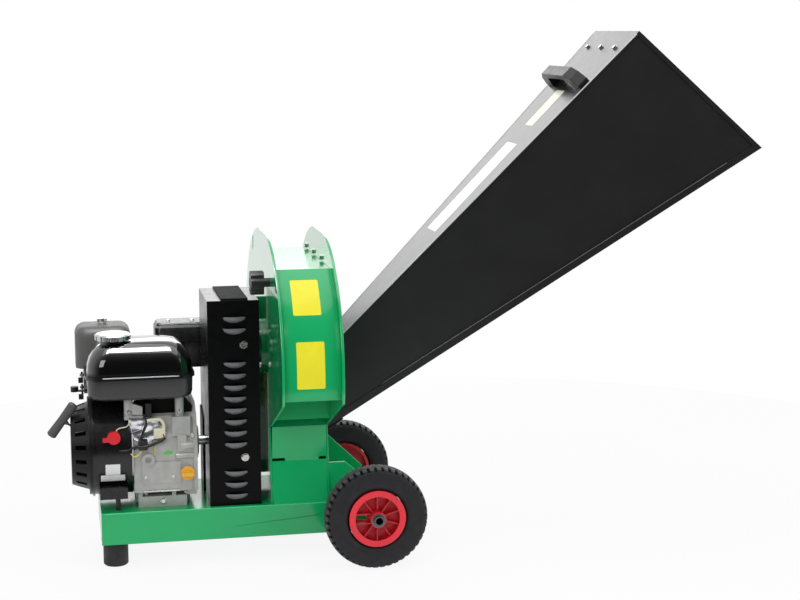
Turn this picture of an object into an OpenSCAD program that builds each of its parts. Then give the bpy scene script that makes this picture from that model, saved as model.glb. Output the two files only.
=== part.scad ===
// Petrol garden shredder: a wheeled sheet-metal tray that carries a small engine, a belt drive,
// a shredding drum with a front discharge and a long sheet-metal feed hopper.
// Built about the wheel axle: X runs from the engine to the hopper, Y to the far wheel, Z up.

/* [Wheels and axle] */
// Tyre diameter
wheel_d = 208; // [190:2:220]
// Tyre width
wheel_w = 54; // [44:1:60]
// Distance between the wheels' middle planes
wheel_track = 404; // [396:2:430]
// Diameter of the rim under the tyre
rim_d = 116; // [108:2:124]
// Axle tube diameter
axle_d = 20; // [18:0.5:22]
// Axle tube bore
axle_bore = 15; // [8:0.5:16]
// Radial spokes on each rim
rim_ribs = 10; // [8:2:14]
// Tread lugs round each shoulder of the tyre
tread_lugs = 44; // [30:2:48]

/* [Base tray] */
// Reach of the tray from the axle towards the engine
base_left = 540; // [530:2:560]
// Reach of the tray from the axle towards the hopper
base_right = 45; // [30:1:60]
// Width of the tray
base_w = 236; // [230:2:250]
// Height of the tray's skirts
base_h = 65; // [60:1:75]
// Sheet thickness of the tray
base_t = 3; // [2:0.5:4]
// Height of the rubber feet
foot_h = 50; // [46:1:54]
// Diameter of the rubber feet
foot_d = 50; // [40:2:54]
// Distance of the feet from the middle plane
foot_y = 80; // [60:2:85]

/* [Drum housing] */
// Gap from the axle to the right side plate
drum_gap = 78; // [72:1:84]
// Clear width between the side plates
drum_w = 111; // [108:1:118]
// Thickness of the side plates
plate_t = 5; // [4:0.5:6]
// Radius of the side plates' round ends
drum_r = 262; // [256:1:268]
// Distance between the centres of those round ends
drum_stretch = 80; // [70:2:90]
// Height of those centres over the deck
drum_up = 285; // [280:1:292]
// How far the plates stand proud of the drum band
plate_proud = 18; // [14:1:22]
// Sheet thickness of the drum band and front cover
band_t = 3; // [2:0.5:4]
// Height of the front cover's lower edge over the deck
cover_low = 248; // [242:1:254]
// Height of the front cover's upper edge over the deck
cover_high = 490; // [470:2:496]
// Height of the drum band's flat top over the deck
flat_up = 488; // [484:1:492]
// Lap of the front cover over the drum band
cover_lap = 16; // [10:1:24]
// Reach of the pedestal to each side of the middle plane
pedestal_y = 112; // [108:1:114]

/* [Rotor] */
// Height of the rotor axis over the deck
rotor_up = 305; // [302:1:308]
// Offset of the rotor axis behind the middle plane
rotor_y = 10; // [6:1:14]
// Diameter of the cutter disc
disc_d = 330; // [310:2:336]
// Thickness of the cutter disc
disc_t = 14; // [12:0.5:16]
// Rotor shaft diameter
shaft_d = 30; // [28:0.5:32]
// Outside diameter of the rotor bearings
bearing_d = 52; // [48:1:54]
// Thickness of the knives
knife_t = 8; // [6:0.5:9]
// Number of fan paddles
paddle_count = 4; // [3:1:6]
// Rotor pulley diameter
rotor_pulley_d = 105; // [100:1:108]

/* [Belt drive] */
// Engine pulley diameter
engine_pulley_d = 70; // [66:1:74]
// Width of the V-belt
belt_w = 13; // [10:0.5:14]
// Height of the V-belt section
belt_h = 8; // [7:0.5:9]
// Gap between the drum and the belt guard
guard_gap = 19; // [17:1:22]
// Width of the belt guard
guard_w = 104; // [100:1:110]
// Depth of the belt guard
guard_d = 180; // [176:1:190]
// Height of the belt guard over the deck
guard_h = 420; // [405:1:430]
// Sheet thickness of the belt guard
guard_t = 2; // [1.5:0.5:3]
// Length of a louvre
louvre_w = 50; // [40:1:56]
// How far a louvre stands out
louvre_rise = 9; // [6:0.5:10]
// Spacing of the louvres
louvre_pitch = 23.6; // [21:0.2:24]

/* [Hopper] */
// Width of the hopper at the drum
hopper_w = 93; // [90:1:100]
// Angle in degrees at which each side sheet spreads towards the mouth
hopper_spread = 8.6; // [7.6:0.2:9]
// Sheet thickness of the hopper
hopper_t = 2.5; // [2:0.5:3]
// Height of the hopper floor over the deck where it meets the drum
hopper_up = 138; // [134:1:142]
// Height of the hopper's throat at the drum
throat_h = 164; // [158:1:170]
// Length of the hopper floor
floor_len = 1055; // [1000:1:1100]
// Slope of the hopper floor in degrees
floor_slope = 33.1; // [31:0.1:34]
// Length of the hopper top
top_len = 903; // [860:1:930]
// Slope of the hopper top in degrees
top_slope = 45.9; // [44:0.1:47]
// Width of the infeed window in the drum
window_w = 76; // [60:2:78]
// Height of the infeed window in the drum
window_h = 100; // [90:2:110]

/* [Engine] */
// Gap between the belt guard and the crankcase
engine_gap = 23; // [20:1:28]
// Width of the crankcase along the crank
case_w = 127; // [120:1:134]
// Height of the crank over the deck
crank_up = 114; // [112:1:118]
// Crankshaft diameter
crank_d = 20; // [18:0.5:22]
// Width of the fan shroud along the crank
shroud_w = 81; // [76:1:86]
// Radius of the fan shroud
shroud_r = 100; // [97:1:103]
// Width of the recoil housing along the crank
recoil_w = 41; // [38:1:46]
// Lean of the cylinder over the horizontal in degrees
cylinder_lean = 25; // [22:1:28]
// Length of the fuel tank along the crank
tank_len = 217; // [206:1:224]
// Depth of the fuel tank
tank_depth = 158; // [150:1:164]
// Height of the fuel tank
tank_h = 114; // [106:1:120]
// Height of the tank's underside over the crank
tank_up = 111; // [109:1:116]
// Fuel cap diameter
cap_d = 72; // [64:1:76]
// Length of the recoil grip
grip_len = 80; // [70:1:90]

/* [Hidden] */
$fn = 64;

// Paint colours
green = [0.05, 0.50, 0.24];
black = [0.07, 0.07, 0.07];
steel = [0.62, 0.63, 0.64];
alloy = [0.58, 0.58, 0.56];
red = [0.80, 0.07, 0.10];
yellow = [0.92, 0.66, 0.10];

// Clearances
run_fit = 0.05;
free_gap = 0.5;

// Heights
axle_z = wheel_d / 2;
deck_z = foot_h + base_h;
drum_z = deck_z + drum_up;
rotor_z = deck_z + rotor_up;
crank_z = deck_z + crank_up;
guard_top = deck_z + guard_h;

// Stations along X
right_outer = -drum_gap;
right_inner = right_outer - plate_t;
left_inner = right_inner - drum_w;
left_outer = left_inner - plate_t;
guard_right = left_outer - guard_gap;
guard_left = guard_right - guard_w;
case_right = guard_left - engine_gap;
case_left = case_right - case_w;
shroud_left = case_left - shroud_w;
recoil_left = shroud_left - recoil_w;
belt_x = (guard_left + guard_right) / 2;

// Stations along Y
guard_front = -base_w / 2 + 13;
guard_back = guard_front + guard_d;
wheel_y = wheel_track / 2;

// Hopper corners in the XZ plane
flange_t = 5;
hopper_x = right_outer + flange_t;
hopper_z = deck_z + hopper_up;
floor_in = [hopper_x, hopper_z];
floor_out = floor_in + floor_len * [cos(floor_slope), sin(floor_slope)];
top_in = floor_in + [0, throat_h];
top_out = top_in + top_len * [cos(top_slope), sin(top_slope)];

// Recoil grip: its bar leans back, and the rope pulls square to it
grip_r = 10;
grip_end = 3;
pull = [-0.8, 0, 0.6];
pull_tilt = asin(pull[2]);
rope_r = 2;
rope_y = -40;
rope_z = crank_z + 52;
stem_len = 14;
rope_show = 6;
rope_exit = [recoil_left, rope_y, rope_z];
grip_mid = rope_exit + (rope_show + stem_len) * pull;

// The origin is under the middle of the whole machine
x_min = grip_mid[0] - (grip_len / 2 - grip_end) * pull[2] + grip_r * pull[0];
x_max = floor_out[0];
mid_x = (x_min + x_max) / 2;

module put() { translate([-mid_x, 0, 0]) children(); }

// Shapes drawn in the YZ plane and pulled along X, or in the XZ plane and pulled along Y
module along_x(x0, len) { translate([x0, 0, 0]) rotate([90, 0, 90]) linear_extrude(len) children(); }
module along_y(y0, len) { translate([0, y0 + len, 0]) rotate([90, 0, 0]) linear_extrude(len) children(); }
module rod_x(x0, x1, r, y, z) { translate([x0, y, z]) rotate([0, 90, 0]) cylinder(h = x1 - x0, r = r); }
module rod_y(y0, y1, r, x, z) { translate([x, y0, z]) rotate([-90, 0, 0]) cylinder(h = y1 - y0, r = r); }
module rod_z(z0, z1, r, x, y) { translate([x, y, z0]) cylinder(h = z1 - z0, r = r); }
module box(low, high) { translate(low) cube(high - low); }
// A shape turned about the X axis through a point in the YZ plane
module about_x(y, z, a) { translate([0, y, z]) rotate([a, 0, 0]) children(); }

// Hexagon bolt head with its washer, standing along +Z
module bolt_head(d) {
    cylinder(h = d * 0.15, r = d);
    translate([0, 0, d * 0.15]) cylinder(h = d * 0.6, r = d * 0.87, $fn = 6);
}

/* Base tray */
engine_hole_r = 4.5;
engine_hole_x = 80;
engine_hole_y = 140;
case_mid = (case_left + case_right) / 2;
foot_x = -base_left + foot_d / 2 + 3;

module base_frame() {
    half = base_w / 2 - base_t;
    color(green) difference() {
        box([-base_left + base_t, -half, deck_z - base_t], [base_right - base_t, half, deck_z]);
        rod_y(-half - 1, half + 1, axle_d / 2, 0, axle_z);
        for (x = [-1, 1], y = [-1, 1])
            rod_z(deck_z - base_t - 1, deck_z + 1, engine_hole_r,
                  case_mid + x * engine_hole_x / 2, y * engine_hole_y / 2);
    }
}

module base_skirts() {
    half = base_w / 2;
    color(green) for (y = [-half, half - base_t]) difference() {
        box([-base_left, y, foot_h], [base_right, y + base_t, deck_z]);
        rod_y(y - 1, y + base_t + 1, axle_d / 2, 0, axle_z);
    }
}

// End plates between the skirts; the one under the engine carries the plate for the feet
module base_ends() {
    half = base_w / 2 - base_t;
    color(green) {
        for (x = [-base_left, base_right - base_t]) box([x, -half, foot_h], [x + base_t, half, deck_z]);
        box([-base_left, -half, foot_h], [foot_x + foot_d / 2 + 3, half, foot_h + base_t]);
    }
}

module foot(y) {
    lead = 3;
    color(black) translate([foot_x, y, 0]) rotate_extrude()
        polygon([[8, 6], [8, 0], [foot_d / 2 - lead, 0], [foot_d / 2, lead], [foot_d / 2, foot_h],
                 [0, foot_h], [0, 6]]);
}
module feet() {
    for (s = [-1, 1]) foot(s * foot_y);
}

/* Wheels */
hub_len = wheel_w + 8;
clip_t = 3;
axle_end = wheel_y + hub_len / 2 + clip_t + 6;

module axle() {
    color(steel) difference() {
        rod_y(-axle_end, axle_end, axle_d / 2, 0, axle_z);
        rod_y(-axle_end - 1, axle_end + 1, axle_bore / 2, 0, axle_z);
    }
}

module axle_clips() {
    inner = wheel_y - hub_len / 2 - free_gap - clip_t;
    outer = wheel_y + hub_len / 2 + free_gap;
    color(steel) for (y = [-outer - clip_t, -inner - clip_t, inner, outer]) difference() {
        rod_y(y, y + clip_t, axle_d / 2 + 4, 0, axle_z);
        rod_y(y - 1, y + clip_t + 1, axle_d / 2, 0, axle_z);
    }
}

// Half of the tyre's section as a rounded box, from the rim to the tread
tyre_in = rim_d / 2;
tyre_mid = (tyre_in + axle_z) / 2;
tyre_half = (axle_z - tyre_in) / 2;
function squash(v, p) = sign(v) * pow(abs(v), p);
tyre_points = [for (a = [0:10:350])
    [tyre_mid + tyre_half * squash(cos(a), 0.62), wheel_w / 2 * squash(sin(a), 0.62)]];

module tyre(y) {
    lug_w = 6;
    lug_deep = 7;
    color(black) translate([0, y, axle_z]) rotate([-90, 0, 0]) difference() {
        rotate_extrude() polygon(tyre_points);
        for (side = [-1, 1], i = [0:tread_lugs - 1])
            rotate((i + side / 4) * 360 / tread_lugs)
                translate([axle_z - lug_deep, -lug_w / 2, side * wheel_w * 0.36 - wheel_w * 0.2])
                    cube([lug_deep + 1, lug_w, wheel_w * 0.4]);
        for (v = [-1, 1]) translate([0, 0, v * wheel_w * 0.1 - 1.5]) difference() {
            cylinder(h = 3, r = axle_z + 1);
            translate([0, 0, -1]) cylinder(h = 5, r = axle_z - 4);
        }
    }
}

// A rim moulded in one piece: bead ring with a flat face, web, hub and thin ribs on the outer face.
// Two of the ribs run side by side past the valve bay.
module rim(y, side) {
    face = wheel_w / 2 - 5;
    ring_out = tyre_in - free_gap;
    ring_in = ring_out - 6;
    flat_in = ring_out - 12.5;
    flat_t = 5;
    web_t = 6;
    hub_r = axle_d / 2 + 6;
    rib_t = 2.5;
    rib_h = face - 4;
    bay = [20, 11];
    bay_rib = 9.5;
    step = 360 / rim_ribs;
    color(red) translate([0, y, axle_z]) rotate([side * 90, 0, 0]) difference() {
        union() {
            rotate_extrude() polygon([[ring_in, -face], [ring_out, -face], [ring_out, face], [flat_in, face],
                                      [flat_in, face - flat_t], [ring_in, face - flat_t]]);
            translate([0, 0, -web_t / 2]) cylinder(h = web_t, r = ring_in + 1);
            translate([0, 0, -hub_len / 2]) cylinder(h = hub_len, r = hub_r);
            for (a = [step / 2:step:359]) if (abs(a - 180) > step) rotate(a)
                translate([hub_r - 1, -rib_t / 2, 0]) cube([flat_in - hub_r + 3, rib_t, rib_h]);
            for (s = [-1, 1]) translate([-flat_in - 1, s * bay_rib - rib_t / 2, 0])
                cube([flat_in - hub_r + 6, rib_t, rib_h]);
        }
        translate([0, 0, -hub_len]) cylinder(h = 2 * hub_len, r = axle_d / 2 + run_fit);
        translate([-flat_in + 6, -bay[1] / 2, -hub_len]) cube([bay[0], bay[1], 2 * hub_len]);
    }
}
module tyre_near() { tyre(-wheel_y); }
module tyre_far() { tyre(wheel_y); }
module rim_near() { rim(-wheel_y, 1); }
module rim_far() { rim(wheel_y, -1); }

/* Drum housing */
cover_z = [deck_z + cover_low, deck_z + cover_high];
band_r = drum_r - plate_proud;
flat_z = deck_z + flat_up;
chin = [[-pedestal_y + 27, deck_z + 152], [-pedestal_y, deck_z]];

// Two equal circles and the flat between them
module stadium(r) {
    for (s = [-1, 1]) translate([s * drum_stretch / 2, drum_z]) circle(r);
    translate([-drum_stretch / 2, drum_z - r]) square([drum_stretch, 2 * r]);
}

module plate_outline() {
    tip = [-drum_stretch / 2 - drum_r, cover_z[0] - 6];
    difference() {
        union() {
            stadium(drum_r);
            translate([-pedestal_y, deck_z]) square([2 * pedestal_y, drum_up]);
        }
        polygon([tip - [20, 0], tip + [8, 0], tip + [14, -4], chin[0], chin[1],
                 [-pedestal_y, 0], [tip[0] - 20, 0]]);
        translate([-500, -1]) square([1000, deck_z + 1]);
    }
}

slot_y = 146;
slot_z = deck_z + 505;
knob_y = -126;
knob_z = deck_z + 458;
stud_r = 5;
cartridge_r = bearing_d / 2 + 10;
flange_r = cartridge_r + 22;
flange_bolt_pcd = 2 * cartridge_r + 22;

// The left plate carries a rib that closes the gap behind the belt guard
module left_side_plate() {
    rib_y = [guard_back - 5, guard_back - 2];
    color(green) difference() {
        union() {
            along_x(left_outer, plate_t) plate_outline();
            box([guard_right + free_gap, rib_y[0], deck_z + 20], [left_inner - 1, rib_y[1], guard_top - 20]);
        }
        rod_x(left_outer - 1, left_inner + 1, cartridge_r, rotor_y, rotor_z);
        rod_x(left_outer - 1, left_inner + 1, stud_r, knob_y, knob_z);
        for (s = [-1, 1]) rod_x(left_outer - 1, left_inner + 1, 5, slot_y, slot_z + s * 10);
        box([left_outer - 1, slot_y - 5, slot_z - 10], [left_inner + 1, slot_y + 5, slot_z + 10]);
    }
}

// The infeed window lies below the rotor axis
window_low = [-window_w / 2, hopper_z + 22];
module window(x0, x1, grow) {
    box([x0, window_low[0] - grow, window_low[1] - grow],
        [x1, window_low[0] + window_w + grow, window_low[1] + window_h + grow]);
}

module right_side_plate() {
    color(green) difference() {
        along_x(right_inner, plate_t) plate_outline();
        window(right_inner - 1, right_outer + 1, 0);
    }
}

module band_ring(grow) {
    difference() {
        stadium(band_r + grow);
        stadium(band_r + grow - band_t);
    }
}
module below(z) { translate([-500, 0]) square([1000, z]); }

module front_cover() {
    color(green) along_x(left_inner, drum_w) intersection() {
        band_ring(band_t);
        translate([-600, cover_z[0]]) square([600 - drum_stretch / 2, cover_z[1] - cover_z[0]]);
    }
}

deflector_y = -pedestal_y + 16;
module drum_band() {
    color(green) along_x(left_inner, drum_w) difference() {
        intersection() {
            stadium(band_r);
            below(flat_z);
        }
        intersection() {
            stadium(band_r - band_t);
            below(flat_z - band_t);
        }
        translate([-600, 0]) square([600 + deflector_y, cover_z[1] - cover_lap]);
    }
}

// Sheet that closes the drum's front under the discharge, in two lapped pieces, with a chip guide above it
deflector_z = [deck_z + 91, deck_z + 171];
module discharge_deflector() {
    fold = 14;
    y0 = deflector_y;
    guide_y = y0 - 46;
    guide_z = deflector_z[1] + 10;
    guide_h = 40;
    color(green) along_x(left_inner, drum_w) {
        translate([guide_y, guide_z]) square([band_t, guide_h]);
        polygon([[y0, deflector_z[0]], [y0 - 4, deflector_z[1] - fold], [y0 + 8, deflector_z[1]],
                 [y0 + 11, deflector_z[1] - 2], [y0, deflector_z[1] - fold - 1],
                 [y0 + band_t, deflector_z[0]]]);
    }
}
module discharge_ramp() {
    tuck = 6;
    y0 = deflector_y;
    color(green) along_x(left_inner, drum_w)
        polygon([[-base_w / 2, deck_z], [y0, deflector_z[0] - tuck], [y0 + band_t + 1, deflector_z[0] - tuck],
                 [-base_w / 2 + band_t + 2, deck_z]]);
}

module housing_bolts() {
    top_bolt_y = 50;
    top_bolt_pitch = 102;
    color(steel) {
        guard_bolts();
        for (i = [-1:1]) translate([right_inner, top_bolt_y + i * top_bolt_pitch, flat_z + 8])
            rotate([0, -90, 0]) bolt_head(6);
        for (a = [45:90:315]) about_x(rotor_y, rotor_z, a)
            translate([left_outer - 8, 0, flange_bolt_pcd / 2]) rotate([0, -90, 0]) bolt_head(6);
        for (x = [-1, 1], y = [-1, 1])
            translate([case_mid + x * engine_hole_x / 2, y * engine_hole_y / 2, deck_z + foot_bar]) {
                translate([0, 0, -foot_bar - base_t]) cylinder(h = foot_bar + base_t + 1, r = engine_hole_r);
                bolt_head(6);
            }
    }
}

// Lobed knob on a stud that passes the left plate and pulls the front cover tight
module clamp_knob() {
    stem = 12;
    knob_r = 24;
    knob_w = 26;
    nut_r = 9;
    reach = left_outer - free_gap;
    color(black) {
        rod_x(reach - stem - 1, left_inner + 8, stud_r - run_fit, knob_y, knob_z);
        rod_x(reach - stem, reach, nut_r, knob_y, knob_z);
        difference() {
            rod_x(reach - stem - knob_w, reach - stem, knob_r, knob_y, knob_z);
            for (a = [0:60:300]) about_x(knob_y, knob_z, a)
                rod_x(reach - stem - knob_w - 1, reach - stem + 1, 7, 0, knob_r + 2);
        }
    }
}

/* Rotor */
disc_r = disc_d / 2;
knife_gap = 4;
disc_right = right_inner - knife_gap - knife_t;
disc_left = disc_right - disc_t;
pulley_w = belt_w + 9;
shaft_left = belt_x - pulley_w / 2 - 8;
cartridge_x = [left_outer - 13, left_inner + 42];
knife_in = 50;
knife_out = disc_r - 8;
knife_w = 38;
throat_w = 12;

module rotor_shaft() { color(steel) rod_x(shaft_left, disc_right, shaft_d / 2, rotor_y, rotor_z); }

module cutter_disc() {
    hub_r = shaft_d / 2 + 18;
    hub_w = 18;
    color(steel) difference() {
        union() {
            rod_x(disc_left, disc_right, disc_r, rotor_y, rotor_z);
            rod_x(disc_left - hub_w, disc_left + 1, hub_r, rotor_y, rotor_z);
        }
        rod_x(disc_left - hub_w - 1, disc_right + 1, shaft_d / 2, rotor_y, rotor_z);
        for (a = [0, 180]) about_x(rotor_y, rotor_z, a)
            box([disc_left - 1, knife_w / 2 + 1, knife_in],
                [disc_right + 1, knife_w / 2 + 1 + throat_w, knife_out]);
    }
}

module knives() {
    bevel = 7;
    color(steel) for (a = [0, 180]) about_x(rotor_y, rotor_z, a)
        translate([0, 0, knife_in]) linear_extrude(knife_out - knife_in)
            polygon([[disc_right, -knife_w / 2], [disc_right + knife_t, -knife_w / 2],
                     [disc_right + knife_t, knife_w / 2], [disc_right, knife_w / 2 - bevel]]);
}

module paddles() {
    paddle_w = 40;
    paddle_t = 6;
    paddle_in = cartridge_r + 14;
    color(steel) for (i = [0:paddle_count - 1]) about_x(rotor_y, rotor_z, 45 + i * 360 / paddle_count)
        box([disc_left - paddle_w, -paddle_t / 2, paddle_in], [disc_left, paddle_t / 2, disc_r - 4]);
}

module bearing_cartridge() {
    color(alloy) difference() {
        union() {
            rod_x(cartridge_x[0], cartridge_x[1], cartridge_r, rotor_y, rotor_z);
            rod_x(left_outer - 8, left_outer, flange_r, rotor_y, rotor_z);
        }
        rod_x(cartridge_x[0] - 1, cartridge_x[1] + 1, bearing_d / 2, rotor_y, rotor_z);
    }
}

module bearings() {
    bearing_w = 15;
    color(steel) for (x = [cartridge_x[0] + 2, cartridge_x[1] - 2 - bearing_w]) difference() {
        rod_x(x, x + bearing_w, bearing_d / 2, rotor_y, rotor_z);
        rod_x(x - 1, x + bearing_w + 1, shaft_d / 2 + run_fit, rotor_y, rotor_z);
    }
}

// Counter knife under the infeed window
module anvil() {
    anvil_h = 14;
    anvil_t = knife_gap - 1;
    color(steel) box([right_inner - anvil_t, window_low[0], window_low[1] - anvil_h],
                     [right_inner, window_low[0] + window_w, window_low[1]]);
}

/* Belt drive */
groove = belt_h + 2;
module pulley(r, bore_r, y, z) {
    rim_t = 3;
    half = belt_w / 2 + free_gap;
    hub_r = bore_r + 9;
    color(steel) translate([belt_x, y, z]) rotate([0, 90, 0]) difference() {
        rotate_extrude()
            polygon([[bore_r, -pulley_w / 2 - 6], [hub_r, -pulley_w / 2 - 6], [hub_r, -pulley_w / 2],
                     [r, -pulley_w / 2], [r, -half], [r - groove, -half + 1],
                     [r - groove, half - 1], [r, half], [r, pulley_w / 2], [bore_r, pulley_w / 2]]);
        if (r > hub_r + groove + 14) for (a = [0:72:288]) rotate(a)
            translate([(hub_r + r - groove - rim_t) / 2, 0, -pulley_w]) cylinder(h = 2 * pulley_w, r = 6);
    }
}
module rotor_pulley() { pulley(rotor_pulley_d / 2, shaft_d / 2, rotor_y, rotor_z); }
module engine_pulley() { pulley(engine_pulley_d / 2, crank_d / 2, 0, crank_z); }

// Outline of a taut loop round the two pulleys' axes
span = [rotor_y, rotor_z - crank_z];
function turn(a) = [cos(a), sin(a)];
function loop(small_r, large_r) =
    let (wrap = acos((small_r - large_r) / norm(span)), lead = atan2(span[1], span[0]), steps = 24)
    concat([for (i = [0:steps]) [rotor_y, rotor_z] + large_r * turn(lead - wrap + 2 * wrap * i / steps)],
           [for (i = [0:steps]) [0, crank_z] + small_r * turn(lead + wrap + (360 - 2 * wrap) * i / steps)]);

module drive_belt() {
    low = engine_pulley_d / 2 - groove + free_gap;
    high = rotor_pulley_d / 2 - groove + free_gap;
    color(black) along_x(belt_x - belt_w / 2 + 1, belt_w - 2) difference() {
        polygon(loop(low + belt_h, high + belt_h));
        polygon(loop(low, high));
    }
}

// Cover of top, back and engine-side sheets, open at the drum and below, behind a louvred front sheet
guard_bolt_down = [90, 321];
guard_bolt_x = guard_left + 72;
guard_hole_r = 4;
louvre_groups = [[32, 2], [124, 8], [348, 3]];
louvre_z = [for (g = louvre_groups) for (i = [0:g[1] - 1]) guard_top - g[0] - i * louvre_pitch];

module belt_guard() {
    slot_half = 14;
    ridge_x = [guard_left + 28, guard_left + 82];
    ridge_h = 4;
    inner = guard_front + guard_t;
    color(black) union() {
        difference() {
            box([guard_left, inner, deck_z], [guard_right, guard_back, guard_top]);
            box([guard_left + guard_t, inner - 1, deck_z - 1],
                [guard_right + 1, guard_back - guard_t, guard_top - guard_t]);
            // Slot that lets the guard slide over the crankshaft
            box([guard_left - 1, -slot_half, deck_z - 1], [guard_left + guard_t + 1, slot_half, crank_z]);
            rod_x(guard_left - 1, guard_left + guard_t + 1, slot_half, 0, crank_z);
        }
        box([ridge_x[0], inner + 2, guard_top - 1], [ridge_x[1], guard_back - 4, guard_top + ridge_h]);
    }
}

// A louvre is the lower front quarter of a spindle sunk in the sheet; it opens upwards
louvre_sink = 5;
module spindle(shrink) {
    half = louvre_w / 2;
    bow_r = (pow(half, 2) + pow(louvre_rise, 2)) / (2 * louvre_rise);
    arc = [for (i = [-4:4]) let (x = half * i / 4)
           [louvre_sink + louvre_rise - bow_r - shrink + sqrt(pow(bow_r, 2) - pow(x, 2)), x]];
    rotate([0, 90, 0]) rotate_extrude() polygon(concat([[0, -half]], arc, [[0, half]]));
}
module louvre_quarter(shrink, back) {
    wide = 2 * louvre_w;
    difference() {
        translate([0, louvre_sink, 0]) spindle(shrink);
        translate([-wide / 2, -wide / 2, 0]) cube(wide);
        translate([-wide / 2, back, -wide / 2]) cube(wide);
    }
}
module guard_face() {
    louvre_x = guard_left + 29 + louvre_w / 2;
    color(black) difference() {
        union() {
            box([guard_left, guard_front, deck_z], [guard_right, guard_front + guard_t, guard_top]);
            for (z = louvre_z) translate([louvre_x, guard_front, z]) louvre_quarter(0, guard_t / 2);
        }
        for (z = louvre_z) translate([louvre_x, guard_front, z + 0.5]) louvre_quarter(guard_t, 2 * guard_t);
        for (d = guard_bolt_down)
            rod_y(guard_front - 1, guard_front + guard_t + 1, guard_hole_r, guard_bolt_x, guard_top - d);
    }
}

module guard_back_plate() {
    tab_w = 26;
    ear = guard_front + guard_t;
    color(black) difference() {
        union() {
            box([guard_right - guard_t, ear, deck_z],
                [guard_right, guard_back - guard_t, guard_top - guard_t]);
            for (d = guard_bolt_down)
                box([guard_bolt_x - 10, ear, guard_top - d - tab_w / 2],
                    [guard_right, ear + guard_t, guard_top - d + tab_w / 2]);
        }
        rod_x(guard_right - guard_t - 1, guard_right + 1, cartridge_r, rotor_y, rotor_z);
        for (d = guard_bolt_down)
            rod_y(ear - 1, ear + guard_t + 1, guard_hole_r, guard_bolt_x, guard_top - d);
    }
}

module guard_bolts() {
    for (d = guard_bolt_down) translate([guard_bolt_x, guard_front, guard_top - d]) {
        rotate([90, 0, 0]) bolt_head(8);
        rotate([-90, 0, 0]) cylinder(h = 3 * guard_t + 6, r = guard_hole_r);
    }
}

/* Hopper */
// The side sheets stand upright and spread from the drum to the mouth. Outlines are drawn over a run along X,
// which a stretch of 1 leaves in the middle plane and the stretch below lays along a side sheet.
half_w = hopper_w / 2;
side_stretch = 1 / cos(hopper_spread);
lip_low = 17;
lip_top = 7;
sheet_v = hopper_t / cos(floor_slope);
sheet_v_top = hopper_t / cos(top_slope);
function laid(p, stretch) = [(p[0] - hopper_x) * stretch, p[1]];
function half_at(x) = half_w + (x - hopper_x) * tan(hopper_spread);

// Strip of one height along a sloping edge, cut upright at both ends
module strip(a, b, h) {
    polygon([a, b, b + [0, h], a + [0, h]]);
}
module hopper_outline(stretch) {
    polygon([for (p = [floor_in, floor_out, top_out, top_in]) laid(p, stretch)]);
}
module low_strip(h, stretch) {
    intersection() {
        hopper_outline(stretch);
        strip(laid(floor_in, stretch), laid(floor_out, stretch), h);
    }
}
module top_strip(h, stretch) {
    intersection() {
        hopper_outline(stretch);
        strip(laid(top_in, stretch) - [0, h], laid(top_out, stretch) - [0, h], h);
    }
}

// Layer of a side, side -1 near and 1 far, from a depth under the outer face
module on_side(side, depth, thick) {
    translate([hopper_x, side * half_w, 0]) rotate([0, 0, side * hopper_spread])
        along_y(side < 0 ? depth : -depth - thick, thick) children();
}
// Sheet across the hopper, cut along the middle of the lips that fold over both sides
module across() {
    end = floor_out[0] + 20;
    inset = hopper_t / 2 * side_stretch;
    near = half_w - inset;
    far = half_at(end) - inset;
    intersection() {
        translate([hopper_x, 0, 0]) along_y(-half_at(end), 2 * half_at(end)) children();
        linear_extrude(2 * top_out[1])
            polygon([[hopper_x, -near], [end, -far], [end, far], [hopper_x, near]]);
    }
}

// Side sheet between the floor and the top, with a hem folded outwards along the mouth; the hem is drawn
// through the sheet, so that the two are one piece
module hopper_side(side) {
    hem = 9;
    low = laid(floor_out, side_stretch);
    high = laid(top_out, side_stretch);
    inward = hem * [low[1] - high[1], high[0] - low[0]] / norm(high - low);
    // The sheet's inner face lies further along the rising floor than its outer face
    rise = 2 * hopper_t * sin(hopper_spread) * tan(floor_slope);
    color(black) {
        on_side(side, hopper_t, hopper_t) difference() {
            hopper_outline(side_stretch);
            low_strip(sheet_v + rise, side_stretch);
            top_strip(sheet_v_top, side_stretch);
        }
        on_side(side, 0, 2 * hopper_t) difference() {
            intersection() {
                hopper_outline(side_stretch);
                polygon([low, high, high + inward, low + inward]);
            }
            low_strip(lip_low, side_stretch);
            top_strip(lip_top, side_stretch);
        }
    }
}
module hopper_near_side() { hopper_side(-1); }
module hopper_far_side() { hopper_side(1); }

module hopper_floor() {
    color(black) {
        across() low_strip(sheet_v, 1);
        for (s = [-1, 1]) on_side(s, 0, hopper_t) low_strip(lip_low, side_stretch);
    }
}
module hopper_top() {
    color(black) {
        across() top_strip(sheet_v_top, 1);
        for (s = [-1, 1]) on_side(s, 0, hopper_t) top_strip(lip_top, side_stretch);
    }
}

module hopper_flange() {
    rim_w = 16;
    lip_out = 41;
    lip_drop = 6;
    edge = floor_in - [0, lip_drop];
    color(black) {
        difference() {
            box([right_outer, -half_w - rim_w, edge[1]], [hopper_x, half_w + rim_w, top_in[1] + rim_w]);
            window(right_outer - 1, hopper_x + 1, 0);
        }
        along_y(-half_w, hopper_w)
            strip(edge, edge + lip_out * [cos(floor_slope), sin(floor_slope)], sheet_v);
    }
}

// Moves a shape onto the hopper's top sheet: X up the slope, Y across, Z off the sheet
function top_at(run) = top_in + run * [cos(top_slope), sin(top_slope)];
module on_top(run) {
    translate([top_at(run)[0], 0, top_at(run)[1]]) rotate([0, -top_slope, 0]) children();
}

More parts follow.
